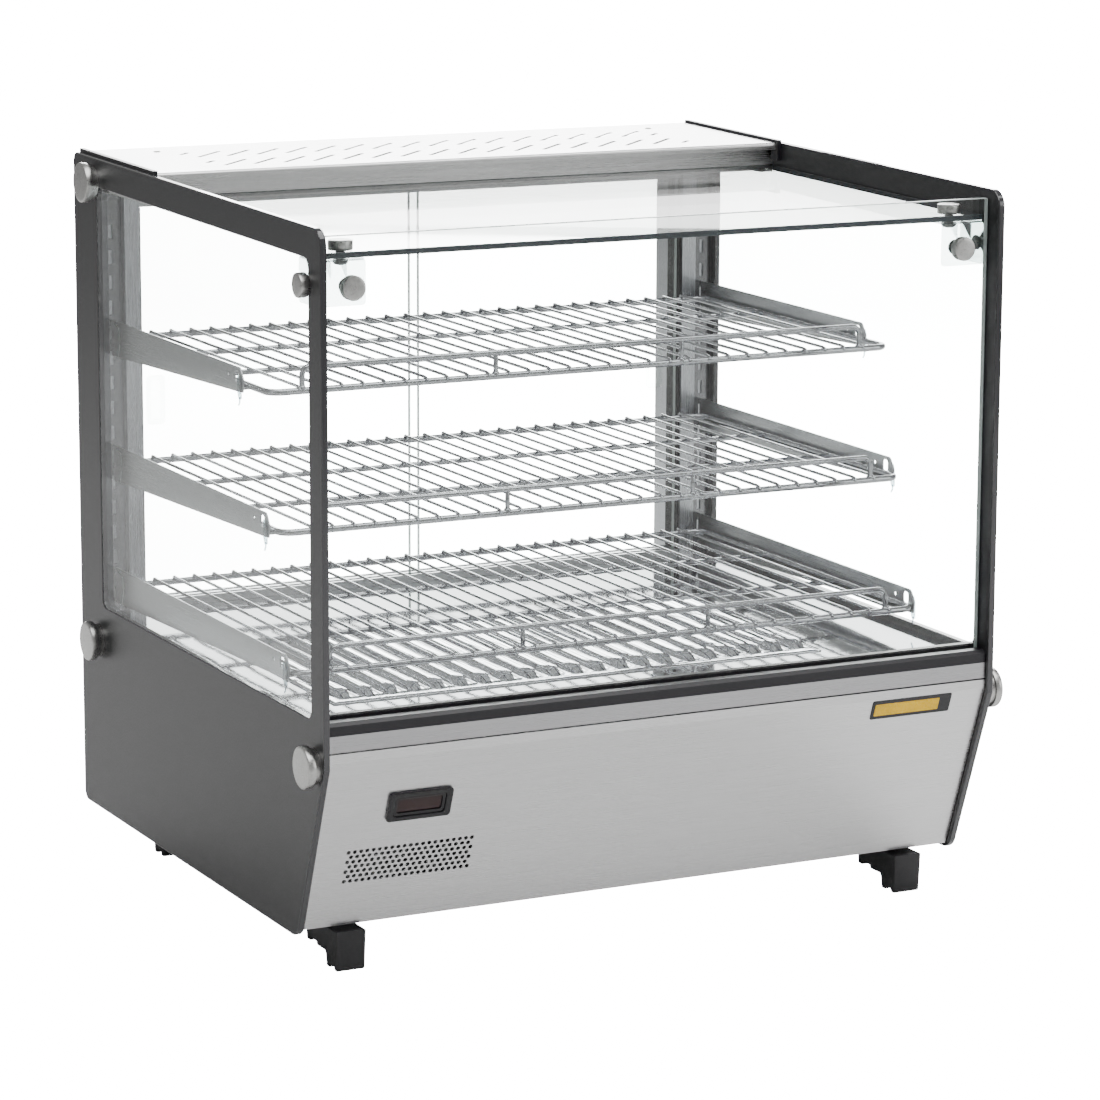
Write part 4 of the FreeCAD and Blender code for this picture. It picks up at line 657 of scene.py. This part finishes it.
def window_outline(grow=0.0):
    """The clear window of a side glass."""
    low = WINDOW_LOW - grow
    near, far = front + WINDOW_FRONT - grow, rear - WINDOW_REAR + grow
    top = FRONT_TOP - WINDOW_TOP + grow
    corners = ((near, low), (far, low), (far, top + (far - front) * ROOF),
               (near, top + (near - front) * ROOF))
    return soften(corners, [0.009 + grow] * 4, 6)


def side_panels():
    """Each side: a clear pane inside a black border whose outer edge is rounded over."""
    for name, sign in (("left", -1), ("right", 1)):
        bm = bmesh.new()
        lay = lay_x(sign * outer) if sign < 0 else lay_x(inner)
        rim = soften(side_corners(0.0), (0.015, 0.009, 0.009, 0.015, 0.0), 8)
        plate(bm, rim, [window_outline()], outer - inner, 0.0009, lay, 1)
        finished("side_border_" + name + "_edged", bm, "case", "black_border", ["side_border_" + name],
                 finishes=(FINISHES["black_border"], BORDER_EDGE))
        bm = bmesh.new()
        start = -outer + 0.0008 if sign < 0 else inner + 0.0002
        plate(bm, window_outline(0.0004), [], outer - inner - 0.001, 0.0003, lay_x(start))
        finished("side_pane_" + name, bm, "case", "clear_glass", ["side_glass_" + name])


def front_pane():
    low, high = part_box("front_glass")
    bm = bmesh.new()
    plate(bm, block(low.x, low.z, high.x, high.z, 0.002, 2), [], high.y - low.y, 0.0007,
          lay_y(0.0, high.y, 0.0), 1)
    finished("front_pane", bm, "case", "clear_glass", ["front_glass"],
             finishes=(FINISHES["clear_glass"], PALE_EDGE))


def top_pane():
    low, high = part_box("top_glass")
    tilt = Matrix.Rotation(math.atan(ROOF), 4, "X")
    lay = Matrix.Translation((0.0, low.y, low.z)) @ tilt
    bm = bmesh.new()
    plate(bm, block(low.x, 0.0004, high.x, high.y - low.y - 0.0004, 0.002, 2), [], PANE, 0.0007, lay, 1)
    finished("top_pane", bm, "case", "clear_glass", ["top_glass"],
             finishes=(FINISHES["clear_glass"], GREEN_EDGE))


def doors():
    """Sliding rear panes with ground edges, each with a dished clear pull."""
    wall, margin = 0.0015, 0.004
    for name in ("left", "right"):
        low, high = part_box("rear_door_" + name)
        bm = bmesh.new()
        plate(bm, block(low.x, low.z, high.x, high.z, 0.001, 2), [], high.y - low.y, 0.0006,
              lay_y(0.0, high.y, 0.0), 1)
        finished("door_pane_" + name, bm, name + "_door", "clear_glass", ["rear_door_" + name],
                 finishes=(FINISHES["clear_glass"], PALE_EDGE))
        low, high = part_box("door_pull_" + name)
        bm = bmesh.new()
        rim = block(low.x, low.z, high.x, high.z, margin)
        dish = block(low.x + margin, low.z + margin, high.x - margin, high.z - margin, 0.003)
        plate(bm, rim, [], wall, 0.0004, lay_y(0.0, low.y + wall, 0.0))
        plate(bm, rim, [dish], high.y - low.y - wall - 0.0001, 0.0008, lay_y(0.0, high.y, 0.0))
        finished("door_pull_" + name + "_dished", bm, name + "_door", "clear_plastic",
                 ["door_pull_" + name], finishes=(FINISHES["clear_glass"],))


# ---- Caps, corner brackets and screws ----
def cap_profile(radius, thick, neck, neck_thick, shank, shank_length, nut):
    """Profile of a cap on its washer, with the bolt and nut inside the case."""
    crown = 0.0011
    face, end = thick + neck_thick, -shank_length
    profile = [(0.0, face), (radius - 2.6 * crown, face), (radius - 1.2 * crown, face - 0.12 * crown),
               (radius - 0.3 * crown, face - 0.5 * crown), (radius, face - 1.3 * crown),
               (radius, neck_thick + 0.7 * crown), (radius - 0.4 * crown, neck_thick)]
    if neck_thick > 0.0:
        profile += [(neck + 0.0002, neck_thick), (neck, neck_thick - 0.0004), (neck, 0.0)]
    profile += [(shank, 0.0), (shank, end + nut)]
    if nut:
        profile += [(shank + 0.0022, end + nut), (shank + 0.0025, end + nut - 0.0006),
                    (shank + 0.0025, end + 0.0022), (shank + 0.0008, end + 0.0006)]
    profile += [(shank * 0.5, end), (0.0, end)]
    return profile


SHANK = 0.004
CAP_RADIUS, WASHER_RADIUS, WASHER = 0.0185, 0.0155, 0.0055
SMALL_CAP_RADIUS, SMALL_CAP = 0.0105, 0.0085


def caps():
    """Three large caps on each side, and three small ones about each front top corner."""
    spots = []
    for sign in (-1, 1):
        for y, z in ((rear - 0.050, BACK_TOP - 0.0237), (rear - 0.044, KINK + 0.004),
                     (front + 0.020, KINK)):
            spots.append((Vector((sign * outer, y, z)), (0.0, sign * math.pi / 2, 0.0)))
    bm = bmesh.new()
    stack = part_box("side_cap_bolts")[1].x - outer
    turned(bm, cap_profile(CAP_RADIUS, stack - WASHER, WASHER_RADIUS, WASHER, SHANK, 0.0139, 0.0), 48,
           Matrix())
    copied("large_side_caps", bm, spots, "satin_steel", ["side_cap_bolts"], 32.0)
    corner_x = inner - 0.0285
    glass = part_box("front_glass")[0].y
    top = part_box("corner_cap_bolts")[1].z
    spots = []
    for sign in (-1, 1):
        spots += [(Vector((sign * outer, front + 0.031, FRONT_TOP - 0.0486)),
                   (0.0, sign * math.pi / 2, 0.0)),
                  (Vector((sign * corner_x, glass, FRONT_TOP - 0.051)), (math.pi / 2, 0.0, 0.0)),
                  (Vector((sign * corner_x, front + 0.038, top - SMALL_CAP)), (0.0, 0.0, 0.0))]
    bm = bmesh.new()
    turned(bm, cap_profile(SMALL_CAP_RADIUS, SMALL_CAP, 0.0, 0.0, SHANK, 0.0128, 0.0048), 40, Matrix())
    copied("small_corner_caps", bm, spots, "satin_steel", ["corner_cap_bolts"], 32.0)


def corner_brackets():
    """Clear three-leaf corners with gussets between the leaves."""
    leaf, gusset = 0.002, 0.0012
    for name, sign in (("left", -1), ("right", 1)):
        low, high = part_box("corner_bracket_" + name)
        bm = bmesh.new()
        wall = low.x if sign < 0 else high.x - leaf
        free, held = (high.x, low.x) if sign < 0 else (low.x, high.x)
        near, top = low.y + leaf, high.z - leaf
        for outline, lay in (
                (block(low.x, low.z, high.x, high.z - 0.0005, 0.003), lay_y(0.0, near, 0.0)),
                (block(low.y + 0.0002, low.z, high.y, high.z - 0.0005, 0.003), lay_x(wall)),
                (block(low.x + 0.0002, low.y + 0.0003, high.x - 0.0002, high.y, 0.003), lay_z(z=top))):
            plate(bm, outline, [], leaf, 0.0004, lay)
        for share in (0.30, 0.62):
            x = held + (free - held) * share - gusset / 2
            web = [Vector((near, top)), Vector((near, high.z - 0.016)), Vector((low.y + 0.018, top))]
            plate(bm, web, [], gusset, 0.0002, lay_x(x))
        finished("corner_bracket_" + name + "_ribbed", bm, "case", "clear_plastic",
                 ["corner_bracket_" + name])


def screws():
    """Round-headed screws with a cross recess, on the vent panel and the rear cover."""
    spots = []
    depth = 0.541
    panel = FRONT_TOP + depth * ROOF + 0.00005
    for sign in (-1, 1):
        spots.append((Vector((sign * (inner - 0.064), front + depth, panel)), (0.0, 0.0, 0.4 * sign)))
    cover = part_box("rear_cover")[1].y
    for sign in (-1, 1):
        for z in (LOW + 0.016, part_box("base_shell")[1].z - 0.014):
            spots.append((Vector((sign * (inner - 0.016), cover, z)), (-math.pi / 2, 0.0, 0.3 * sign)))
    bm = bmesh.new()
    turned(bm, [(0.0, 0.0008), (0.0016, 0.0010), (0.0028, 0.00075), (0.0034, 0.0003), (0.0035, 0.00005),
                (0.0, 0.00005)], 24, Matrix())
    plate(bm, centred(0.0034, 0.0008), [], 0.00105, 0.00005, Matrix(), 0, 1)
    plate(bm, centred(0.0008, 0.0034), [], 0.00104, 0.00005, Matrix(), 0, 1)
    copied("cross_head_screws", bm, spots, "satin_steel", ["panel_screws"], 30.0)


# ---- Shelves ----
ROD, RAIL, STAY = 0.003, 0.0025, 0.0022
WIRE = 0.0015
WIRE_COUNT, WIRE_PITCH = 29, 0.020


def racks():
    """Chrome wire shelves: bent frame, cross rods, wires with turned-down ends and a guard rail."""
    for name in ("top", "middle", "bottom"):
        low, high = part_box(f"shelf_{name}_rack")
        half = high.x - ROD
        near, far = low.y + ROD, high.y - ROD
        level = low.z + ROD
        top = level + ROD + WIRE - 0.0006
        path = bent([(0, far + 0.0016, level + 0.001), (0, far + 0.0014, top + 0.0004),
                     (0, far - 0.006, top), (0, near + 0.004, top), (0, near - 0.0008, top - 0.0008),
                     (0, near - ROD - 0.0004, level + 0.001)], 0.0012, 2)
        wires = WIRES.grow(path_mesh(path), Wire_radius=WIRE, Sides=8, Count=WIRE_COUNT, Pitch=WIRE_PITCH,
                           First=-WIRE_PITCH * (WIRE_COUNT - 1) / 2, Finish=FINISHES["chrome_wire"])
        bm = bmesh.new()
        bm.from_mesh(wires)
        corners = [(-half, near, level), (half, near, level), (half, far, level), (-half, far, level)]
        bar(bm, bent(corners, 0.012, 7, True), ROD, 14, True)
        for share in (0.33, 0.67):
            y = near + (far - near) * share
            bar(bm, [Vector((-half, y, level)), Vector((half, y, level))], ROD - 0.0005, 12)
        rail = high.z - RAIL
        end = half - 0.030
        guard = [(-end, near, level), (-end, near, rail), (end, near, rail), (end, near, level)]
        bar(bm, bent(guard, 0.008, 6), RAIL, 12)
        for x in (-end / 3, end / 3):
            bar(bm, [Vector((x, near, level)), Vector((x, near, rail))], STAY, 12)
        weld = [(0.0, 0.0058), (0.0026, 0.0056), (0.0033, 0.0046), (0.0034, 0.0036), (0.0, 0.0030)]
        for x in (-end, -end / 3, end / 3, end):
            turned(bm, weld, 12, lay_z(x, near, level - 0.0012))
        finished(f"wire_shelf_{name}", bm, f"{name}_shelf", "chrome_wire", [f"shelf_{name}_rack"], 60.0)


BRACKET = 0.0015
ROD_DROP = 0.015
SHELF_SIDES = [(shelf, name, sign) for shelf in ("top", "middle", "bottom")
               for name, sign in (("left", -1), ("right", 1))]


def brackets():
    """Pressed side brackets with a hook nose, an eye and a slot, and a flange under the shelf rod."""
    for shelf, name, sign in SHELF_SIDES:
        node = f"shelf_bracket_{shelf}_{name}"
        low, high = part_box(node)
        rod = high.z - ROD_DROP
        x = low.x if sign < 0 else high.x - BRACKET
        near, far = low.y, high.y
        body = soften(((near + 0.002, rod - 0.0065), (near + 0.012, rod - 0.0070), (far, low.z),
                       (far, high.z), (near + 0.007, high.z), (near, rod + 0.004)),
                      (0.001, 0.003, 0.001, 0.002, 0.006, 0.003), 4)
        eye = circle(near + 0.034, rod + 0.006, 0.002, 14)
        slot = block(near + 0.0105, rod + 0.0008, near + 0.0195, rod + 0.0115, 0.0028)
        bm = bmesh.new()
        plate(bm, body, [eye, slot], BRACKET, 0.0003, lay_x(x))
        inner_x, outer_x = (x + 0.0014, high.x) if sign < 0 else (low.x, x + 0.0001)
        plate(bm, block(inner_x, near + 0.006, outer_x, far - 0.024, 0.002), [], BRACKET, 0.0003,
              lay_z(z=rod - 0.0048))
        finished(node + "_pressed", bm, "case", "satin_plate", [node])


def clips():
    """Clear clips that hang at the nose of every bracket, and the ties at its rear end."""
    spots, ties = [], []
    stand = 0.0011
    for shelf, name, sign in SHELF_SIDES:
        low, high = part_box(f"shelf_bracket_{shelf}_{name}")
        x = low.x - stand if sign < 0 else high.x + stand
        spots.append((Vector((x, low.y + 0.006, high.z - ROD_DROP)), (0.0, 0.0, 0.0)))
        ties.append((Vector((x, high.y - 0.016, high.z - 0.004)), (0.0, 0.0, 0.0)))
    bm = bmesh.new()
    hook = soften(((-0.004, -0.012), (0.0005, -0.013), (0.0035, -0.006), (0.0035, 0.009), (-0.001, 0.009),
                   (-0.0035, 0.004)), (0.001, 0.002, 0.002, 0.0015, 0.0015, 0.001), 4)
    plate(bm, hook, [circle(0.0008, 0.0045, 0.0012, 10)], 0.0016, 0.0004, lay_x(-0.0008))
    bar(bm, bent([(0, -0.001, -0.011), (0, -0.0005, -0.0155), (0, 0.0015, -0.018)], 0.002, 3), 0.0008, 8)
    joined = bmesh.new()
    joined.from_mesh(set_out(bm, spots, CLIP_PLASTIC))
    bm = bmesh.new()
    bar(bm, bent([(0, 0.004, 0.002), (0, -0.007, -0.001), (0, -0.009, -0.016), (0, -0.002, -0.030),
                  (0, 0.006, -0.033)], 0.006, 5), 0.0009, 8)
    joined.from_mesh(set_out(bm, ties, CLIP_PLASTIC))
    finished("bracket_clips_and_ties", joined, "case", "clear_plastic", ["bracket_clips"], 50.0,
             (CLIP_PLASTIC,))


# ---- Deck louvres ----
LOUVRES, LOUVRE_PITCH, LOUVRE_WIDTH, LOUVRE_SKIN = 21, 0.0225, 0.0150, 0.0007
LOUVRE_STEPS, ARCH_STEPS = 17, 8


def louvres():
    """A slotted plate with a long arched blade over every slot."""
    low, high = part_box("louvre_plate")
    near, far = low.y + 0.012, high.y - 0.012
    length = far - near
    rise = high.z - low.z - 0.0012
    bm = bmesh.new()
    grids = []
    for drop in (0.0, LOUVRE_SKIN):
        grid = []
        for i in range(LOUVRE_STEPS):
            share = i / (LOUVRE_STEPS - 1)
            ends = min(share, 1 - share) * length / 0.016
            swell = math.sin(min(ends, 1.0) * math.pi / 2) ** 0.6 if ends > 0 else 0.0
            width = LOUVRE_WIDTH * (0.72 + 0.28 * swell)
            row = []
            for k in range(ARCH_STEPS + 1):
                t = k / ARCH_STEPS
                lift = math.sin(t * math.pi * 0.56) ** 0.85 * (rise - drop * 0.6) * swell
                row.append(bm.verts.new(Vector(((t - 0.5) * width, (share - 0.5) * length,
                                                lift - drop + 0.0008))))
            grid.append(row)
        grids.append(grid)
    top, under = grids
    for i in range(LOUVRE_STEPS - 1):
        for k in range(ARCH_STEPS):
            bm.faces.new((top[i][k], top[i][k + 1], top[i + 1][k + 1], top[i + 1][k]))
            bm.faces.new((under[i][k], under[i + 1][k], under[i + 1][k + 1], under[i][k + 1]))
        for k in (0, ARCH_STEPS):
            bm.faces.new((top[i][k], top[i + 1][k], under[i + 1][k], under[i][k]))
    for k in range(ARCH_STEPS):
        for i in (0, LOUVRE_STEPS - 1):
            bm.faces.new((top[i][k], top[i][k + 1], under[i][k + 1], under[i][k]))
    first = low.x + 0.005 + LOUVRE_PITCH / 2
    spots = [(Vector((first + i * LOUVRE_PITCH, (near + far) / 2, low.z)), (0.0, 0.0, 0.0))
             for i in range(LOUVRES)]
    blades = set_out(bm, spots, FINISHES["bright_sheet"])
    bm = bmesh.new()
    bm.from_mesh(blades)
    slots = [block(place.x + 0.0005, near + 0.006, place.x + 0.0070, far - 0.006, 0.002, 2)
             for place, _ in spots]
    plate(bm, block(low.x, low.y, high.x, high.y, 0.003), slots, 0.001, 0.0002, lay_z(z=low.z), 0, 1)
    finished("louvred_deck_plate", bm, "case", "bright_sheet", ["louvre_plate"], 50.0)


# ---- Thermometer, badge and feet ----
LEAN = math.atan(TOE / (KINK - LOW))
PANEL_RECESS = 0.004
BEZEL_HEIGHT, BEZEL_DROP, BADGE_HEIGHT = 0.029, 0.0365, 0.019


def slope_lay(x, drop, stand):
    """A plane on the sloping front: origin at a drop below the bend, thickness outwards."""
    along = Vector((0.0, math.sin(LEAN), -math.cos(LEAN)))
    out = Vector((0.0, -math.cos(LEAN), -math.sin(LEAN)))
    origin = Vector((x, front + PANEL_RECESS, KINK + 0.004)) + along * drop + out * stand
    turn = Matrix((Vector((1, 0, 0)), -along, out)).transposed().to_4x4()
    return Matrix.Translation(origin) @ turn


def thermometer():
    """A stepped black bezel with a neck behind the sheet, round a smoked pane."""
    low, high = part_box("thermometer_bezel")
    width, height = high.x - low.x, BEZEL_HEIGHT
    middle, drop = (low.x + high.x) / 2, BEZEL_DROP + height / 2
    face = slope_lay(middle, drop, 0.0001)
    step = centred(width, height, 0.006, 0.0045, 0.003, 5)
    view = centred(width, height, 0.009, 0.0075, 0.0025, 5)
    bm = bmesh.new()
    plate(bm, centred(width, height, 0.0, 0.0, 0.0035, 5), [step], 0.0028, 0.0009, face, 0, 3)
    plate(bm, step, [view], 0.0014, 0.0004, face)
    plate(bm, centred(width, height, 0.0036, 0.0036, 0.002), [view], 0.0115, 0.0002,
          slope_lay(middle, drop, -0.0115))
    finished("thermometer_frame", bm, "case", "black_gloss_plastic", ["thermometer_bezel"])
    bm = bmesh.new()
    plate(bm, centred(width, height, 0.0091, 0.0076, 0.0022, 4), [], 0.0014, 0.0004,
          slope_lay(middle, drop, -0.0012))
    finished("thermometer_pane", bm, "case", "display_window", ["thermometer_window"])


def badge():
    """A blank badge: a black plate with a raised amber bar."""
    low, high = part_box("badge_plate")
    x, y, plate_thick = (high.x - low.x) / 2, BADGE_HEIGHT / 2, 0.0005
    lay = slope_lay((low.x + high.x) / 2, y + 0.001, 0.0001)
    bm = bmesh.new()
    plate(bm, block(-x, -y, x, y, 0.0015, 4), [], plate_thick, 0.0001, lay, 1)
    plate(bm, block(0.0030 - x, 0.0034 - y, x - 0.0125, y - 0.0034, 0.0008, 3), [], 0.00075, 0.0002, lay)
    for face in bm.faces:
        if (lay.inverted() @ face.calc_center_median()).z < plate_thick + 0.00005:
            face.material_index = 1
    finished("blank_badge", bm, "case", "badge_amber", ["badge_plate"],
             finishes=(FINISHES["badge_amber"], FINISHES["black_gloss_plastic"]))


FOOT_WIDTH, FOOT_LENGTH, LEG, PAD = 0.028, 0.068, 0.026, 0.013


def feet():
    """Moulded feet: a full front leg and a short rear pad, slightly drafted."""
    low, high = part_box("feet")
    height = high.z - low.z
    spots = [(Vector((x, y, 0.0)), (0.0, 0.0, 0.0))
             for x in (low.x, high.x - FOOT_WIDTH) for y in (front + 0.058, rear - 0.112)]
    end = FOOT_LENGTH
    side = soften(((0.0, height), (0.0015, 0.0), (0.007, 0.0), (0.009, 0.003), (LEG - 0.009, 0.003),
                   (LEG - 0.007, 0.0), (LEG - 0.0015, 0.0), (LEG, PAD), (end - 0.024, PAD),
                   (end - 0.022, PAD + 0.003), (end - 0.010, PAD + 0.003), (end - 0.008, PAD),
                   (end - 0.0015, PAD), (end, height)),
                  (0.0, 0.002, 0.001, 0.001, 0.001, 0.001, 0.002, 0.003, 0.001, 0.001, 0.001, 0.001,
                   0.002, 0.0), 3)
    bm = bmesh.new()
    plate(bm, side, [], FOOT_WIDTH, 0.0014, lay_x(0.0), 0, 3)
    for vert in bm.verts:
        draft = 1.0 - 0.05 * (1.0 - vert.co.z / height)
        vert.co.x = FOOT_WIDTH / 2 + (vert.co.x - FOOT_WIDTH / 2) * draft
    copied("moulded_feet", bm, spots, "black_plastic", ["feet"])


# ---- Controls and cable gland on the rear cover ----
def rearward(x, y, z):
    """A turning axis that points out of the rear of the case."""
    return Matrix.Translation((x, y, z)) @ Matrix.Rotation(-math.pi / 2, 4, "X")


def middle_of(node):
    """The middle X and Z of a node's box."""
    low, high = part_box(node)
    return (low.x + high.x) / 2, (low.z + high.z) / 2


KNOB_RIBS = 36
BORE = 0.0040


def knob():
    """A ribbed thermostat knob with a raised pointer, hollow for its shaft."""
    low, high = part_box("thermostat_knob")
    x, z = middle_of("thermostat_knob")
    deep = high.y - low.y
    bm = bmesh.new()
    bar(bm, [Vector((0, 0, 0.0028)), Vector((0, 0, deep - 0.0034))], 0.00075, 6)
    spots = [(Vector((0.0150 * c, 0.0150 * s, 0.0)), (0.0, 0.0, 2 * math.pi * i / KNOB_RIBS))
             for i, (c, s) in enumerate(around(KNOB_RIBS))]
    ribs = set_out(bm, spots, FINISHES["black_plastic"])
    bm = bmesh.new()
    bm.from_mesh(ribs)
    turned(bm, [(0.0, deep - 0.0012), (0.0095, deep - 0.0012), (0.0110, deep - 0.0002),
                (0.0125, deep - 0.0001), (0.0140, deep - 0.0010), (0.0149, deep - 0.0030),
                (0.0151, 0.0030), (0.0164, 0.0024), (0.0169, 0.0016), (0.0169, 0.0002),
                (0.0031, 0.0002), (0.0031, deep - 0.0034), (0.0, deep - 0.0034)], 48, Matrix())
    plate(bm, block(-0.0009, -0.0090, 0.0009, 0.0010, 0.0006), [], 0.0011, 0.0003,
          lay_z(0.0, 0.0, deep - 0.0013), 1)
    bmesh.ops.transform(bm, matrix=rearward(x, low.y, z), verts=bm.verts[:])
    finished("ribbed_knob", bm, "knob", "black_plastic", ["thermostat_knob"], 35.0,
             (FINISHES["black_plastic"], FINISHES["white_plastic"]))


def rockers():
    """Rocker keys with a shallow V face, each on its pivot pin."""
    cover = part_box("rear_cover")[1].y
    for name in ("power", "light"):
        low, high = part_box(name + "_rocker")
        x, half, face = (low.x + high.x) / 2, (high.x - low.x) / 2, cover + 0.005
        key = ((-half, cover - 0.003), (half, cover - 0.003), (half, face), (half - 0.0012, face),
               (0.0, cover + 0.0032), (0.0012 - half, face), (-half, face))
        bm = bmesh.new()
        plate(bm, soften(key, (0.0006, 0.0006, 0.0004, 0.0004, 0.003, 0.0004, 0.0004), 3), [],
              high.z - low.z - 0.0026, 0.0004, lay_z(x, 0.0, low.z + 0.0013))
        turned(bm, [(0.0, 0.0), (0.0014, 0.0), (0.0016, 0.0002), (0.0016, high.z - low.z - 0.0002),
                    (0.0014, high.z - low.z), (0.0, high.z - low.z)], 20, lay_z(x, cover - 0.0015, low.z))
        slot = "rocker_green" if name == "power" else "black_gloss_plastic"
        finished(name + "_rocker_key", bm, name + "_switch", slot, [name + "_rocker"])


def gland():
    """A cable gland: hexagon body, domed nut and the bore for the cord."""
    low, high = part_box("cable_gland")
    x, z = middle_of("cable_gland")
    cover, sheet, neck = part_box("rear_cover")[1].y, 0.0012, 0.0064
    reach = high.y - cover
    bm = bmesh.new()
    hexagon = soften(circle(0.0, 0.0, 0.0099, 6), [0.0008] * 6, 2)
    plate(bm, hexagon, [circle(0.0, 0.0, BORE + 0.0001, 24)], 0.0048, 0.0005,
          rearward(x, cover + 0.0003, z))
    turned(bm, [(BORE, 0.0052), (neck, 0.0052), (neck, reach - 0.0032), (0.0061, reach - 0.0014),
                (0.0052, reach - 0.0003), (0.0044, reach), (BORE, reach - 0.0006)], 32,
           rearward(x, cover, z))
    end = 0.0013 - (cover - sheet - low.y)
    turned(bm, [(BORE, -0.0001), (neck, -0.0001), (neck, end), (BORE, end)], 32,
           rearward(x, cover - sheet, z))
    finished("hex_cable_gland", bm, "case", "black_plastic", ["cable_gland"], 35.0)


def make_floor():
    """A wide pale floor."""
    mesh = bpy.data.meshes.new("floor")
    reach = 12.0
    mesh.from_pydata([(-reach, -reach, 0), (reach, -reach, 0), (reach, reach, 0), (-reach, reach, 0)], [],
                     [(0, 1, 2, 3)])
    recipe = Recipe("pale_floor")
    plain = recipe.add("BsdfDiffuse", {"Color": (0.80, 0.80, 0.80, 1.0)})
    white = recipe.add("BsdfDiffuse", {"Color": (0.95, 0.95, 0.95, 1.0)})
    glow = recipe.add("Emission", {"Color": (1.0, 1.0, 1.0, 1.0), "Strength": BACKDROP_GLOW})
    lit = recipe.add("AddShader", {0: white.outputs[0], 1: glow.outputs[0]})
    path = recipe.add("LightPath")
    sight = path.outputs["Is Camera Ray"]
    mix = recipe.add("MixShader", {0: sight, 1: plain.outputs[0], 2: lit.outputs[0]})
    mesh.materials.append(recipe.cover(mix.outputs[0]))
    floor = bpy.data.objects.new("floor", mesh)
    bpy.context.scene.collection.objects.link(floor)


for make in (make_camera, make_world, make_lights, make_floor, dress_nodes, side_panels, front_pane,
             top_pane, doors, caps, corner_brackets, screws, racks, brackets, clips, louvres,
             thermometer, badge, feet, knob, rockers, gland):
    make()
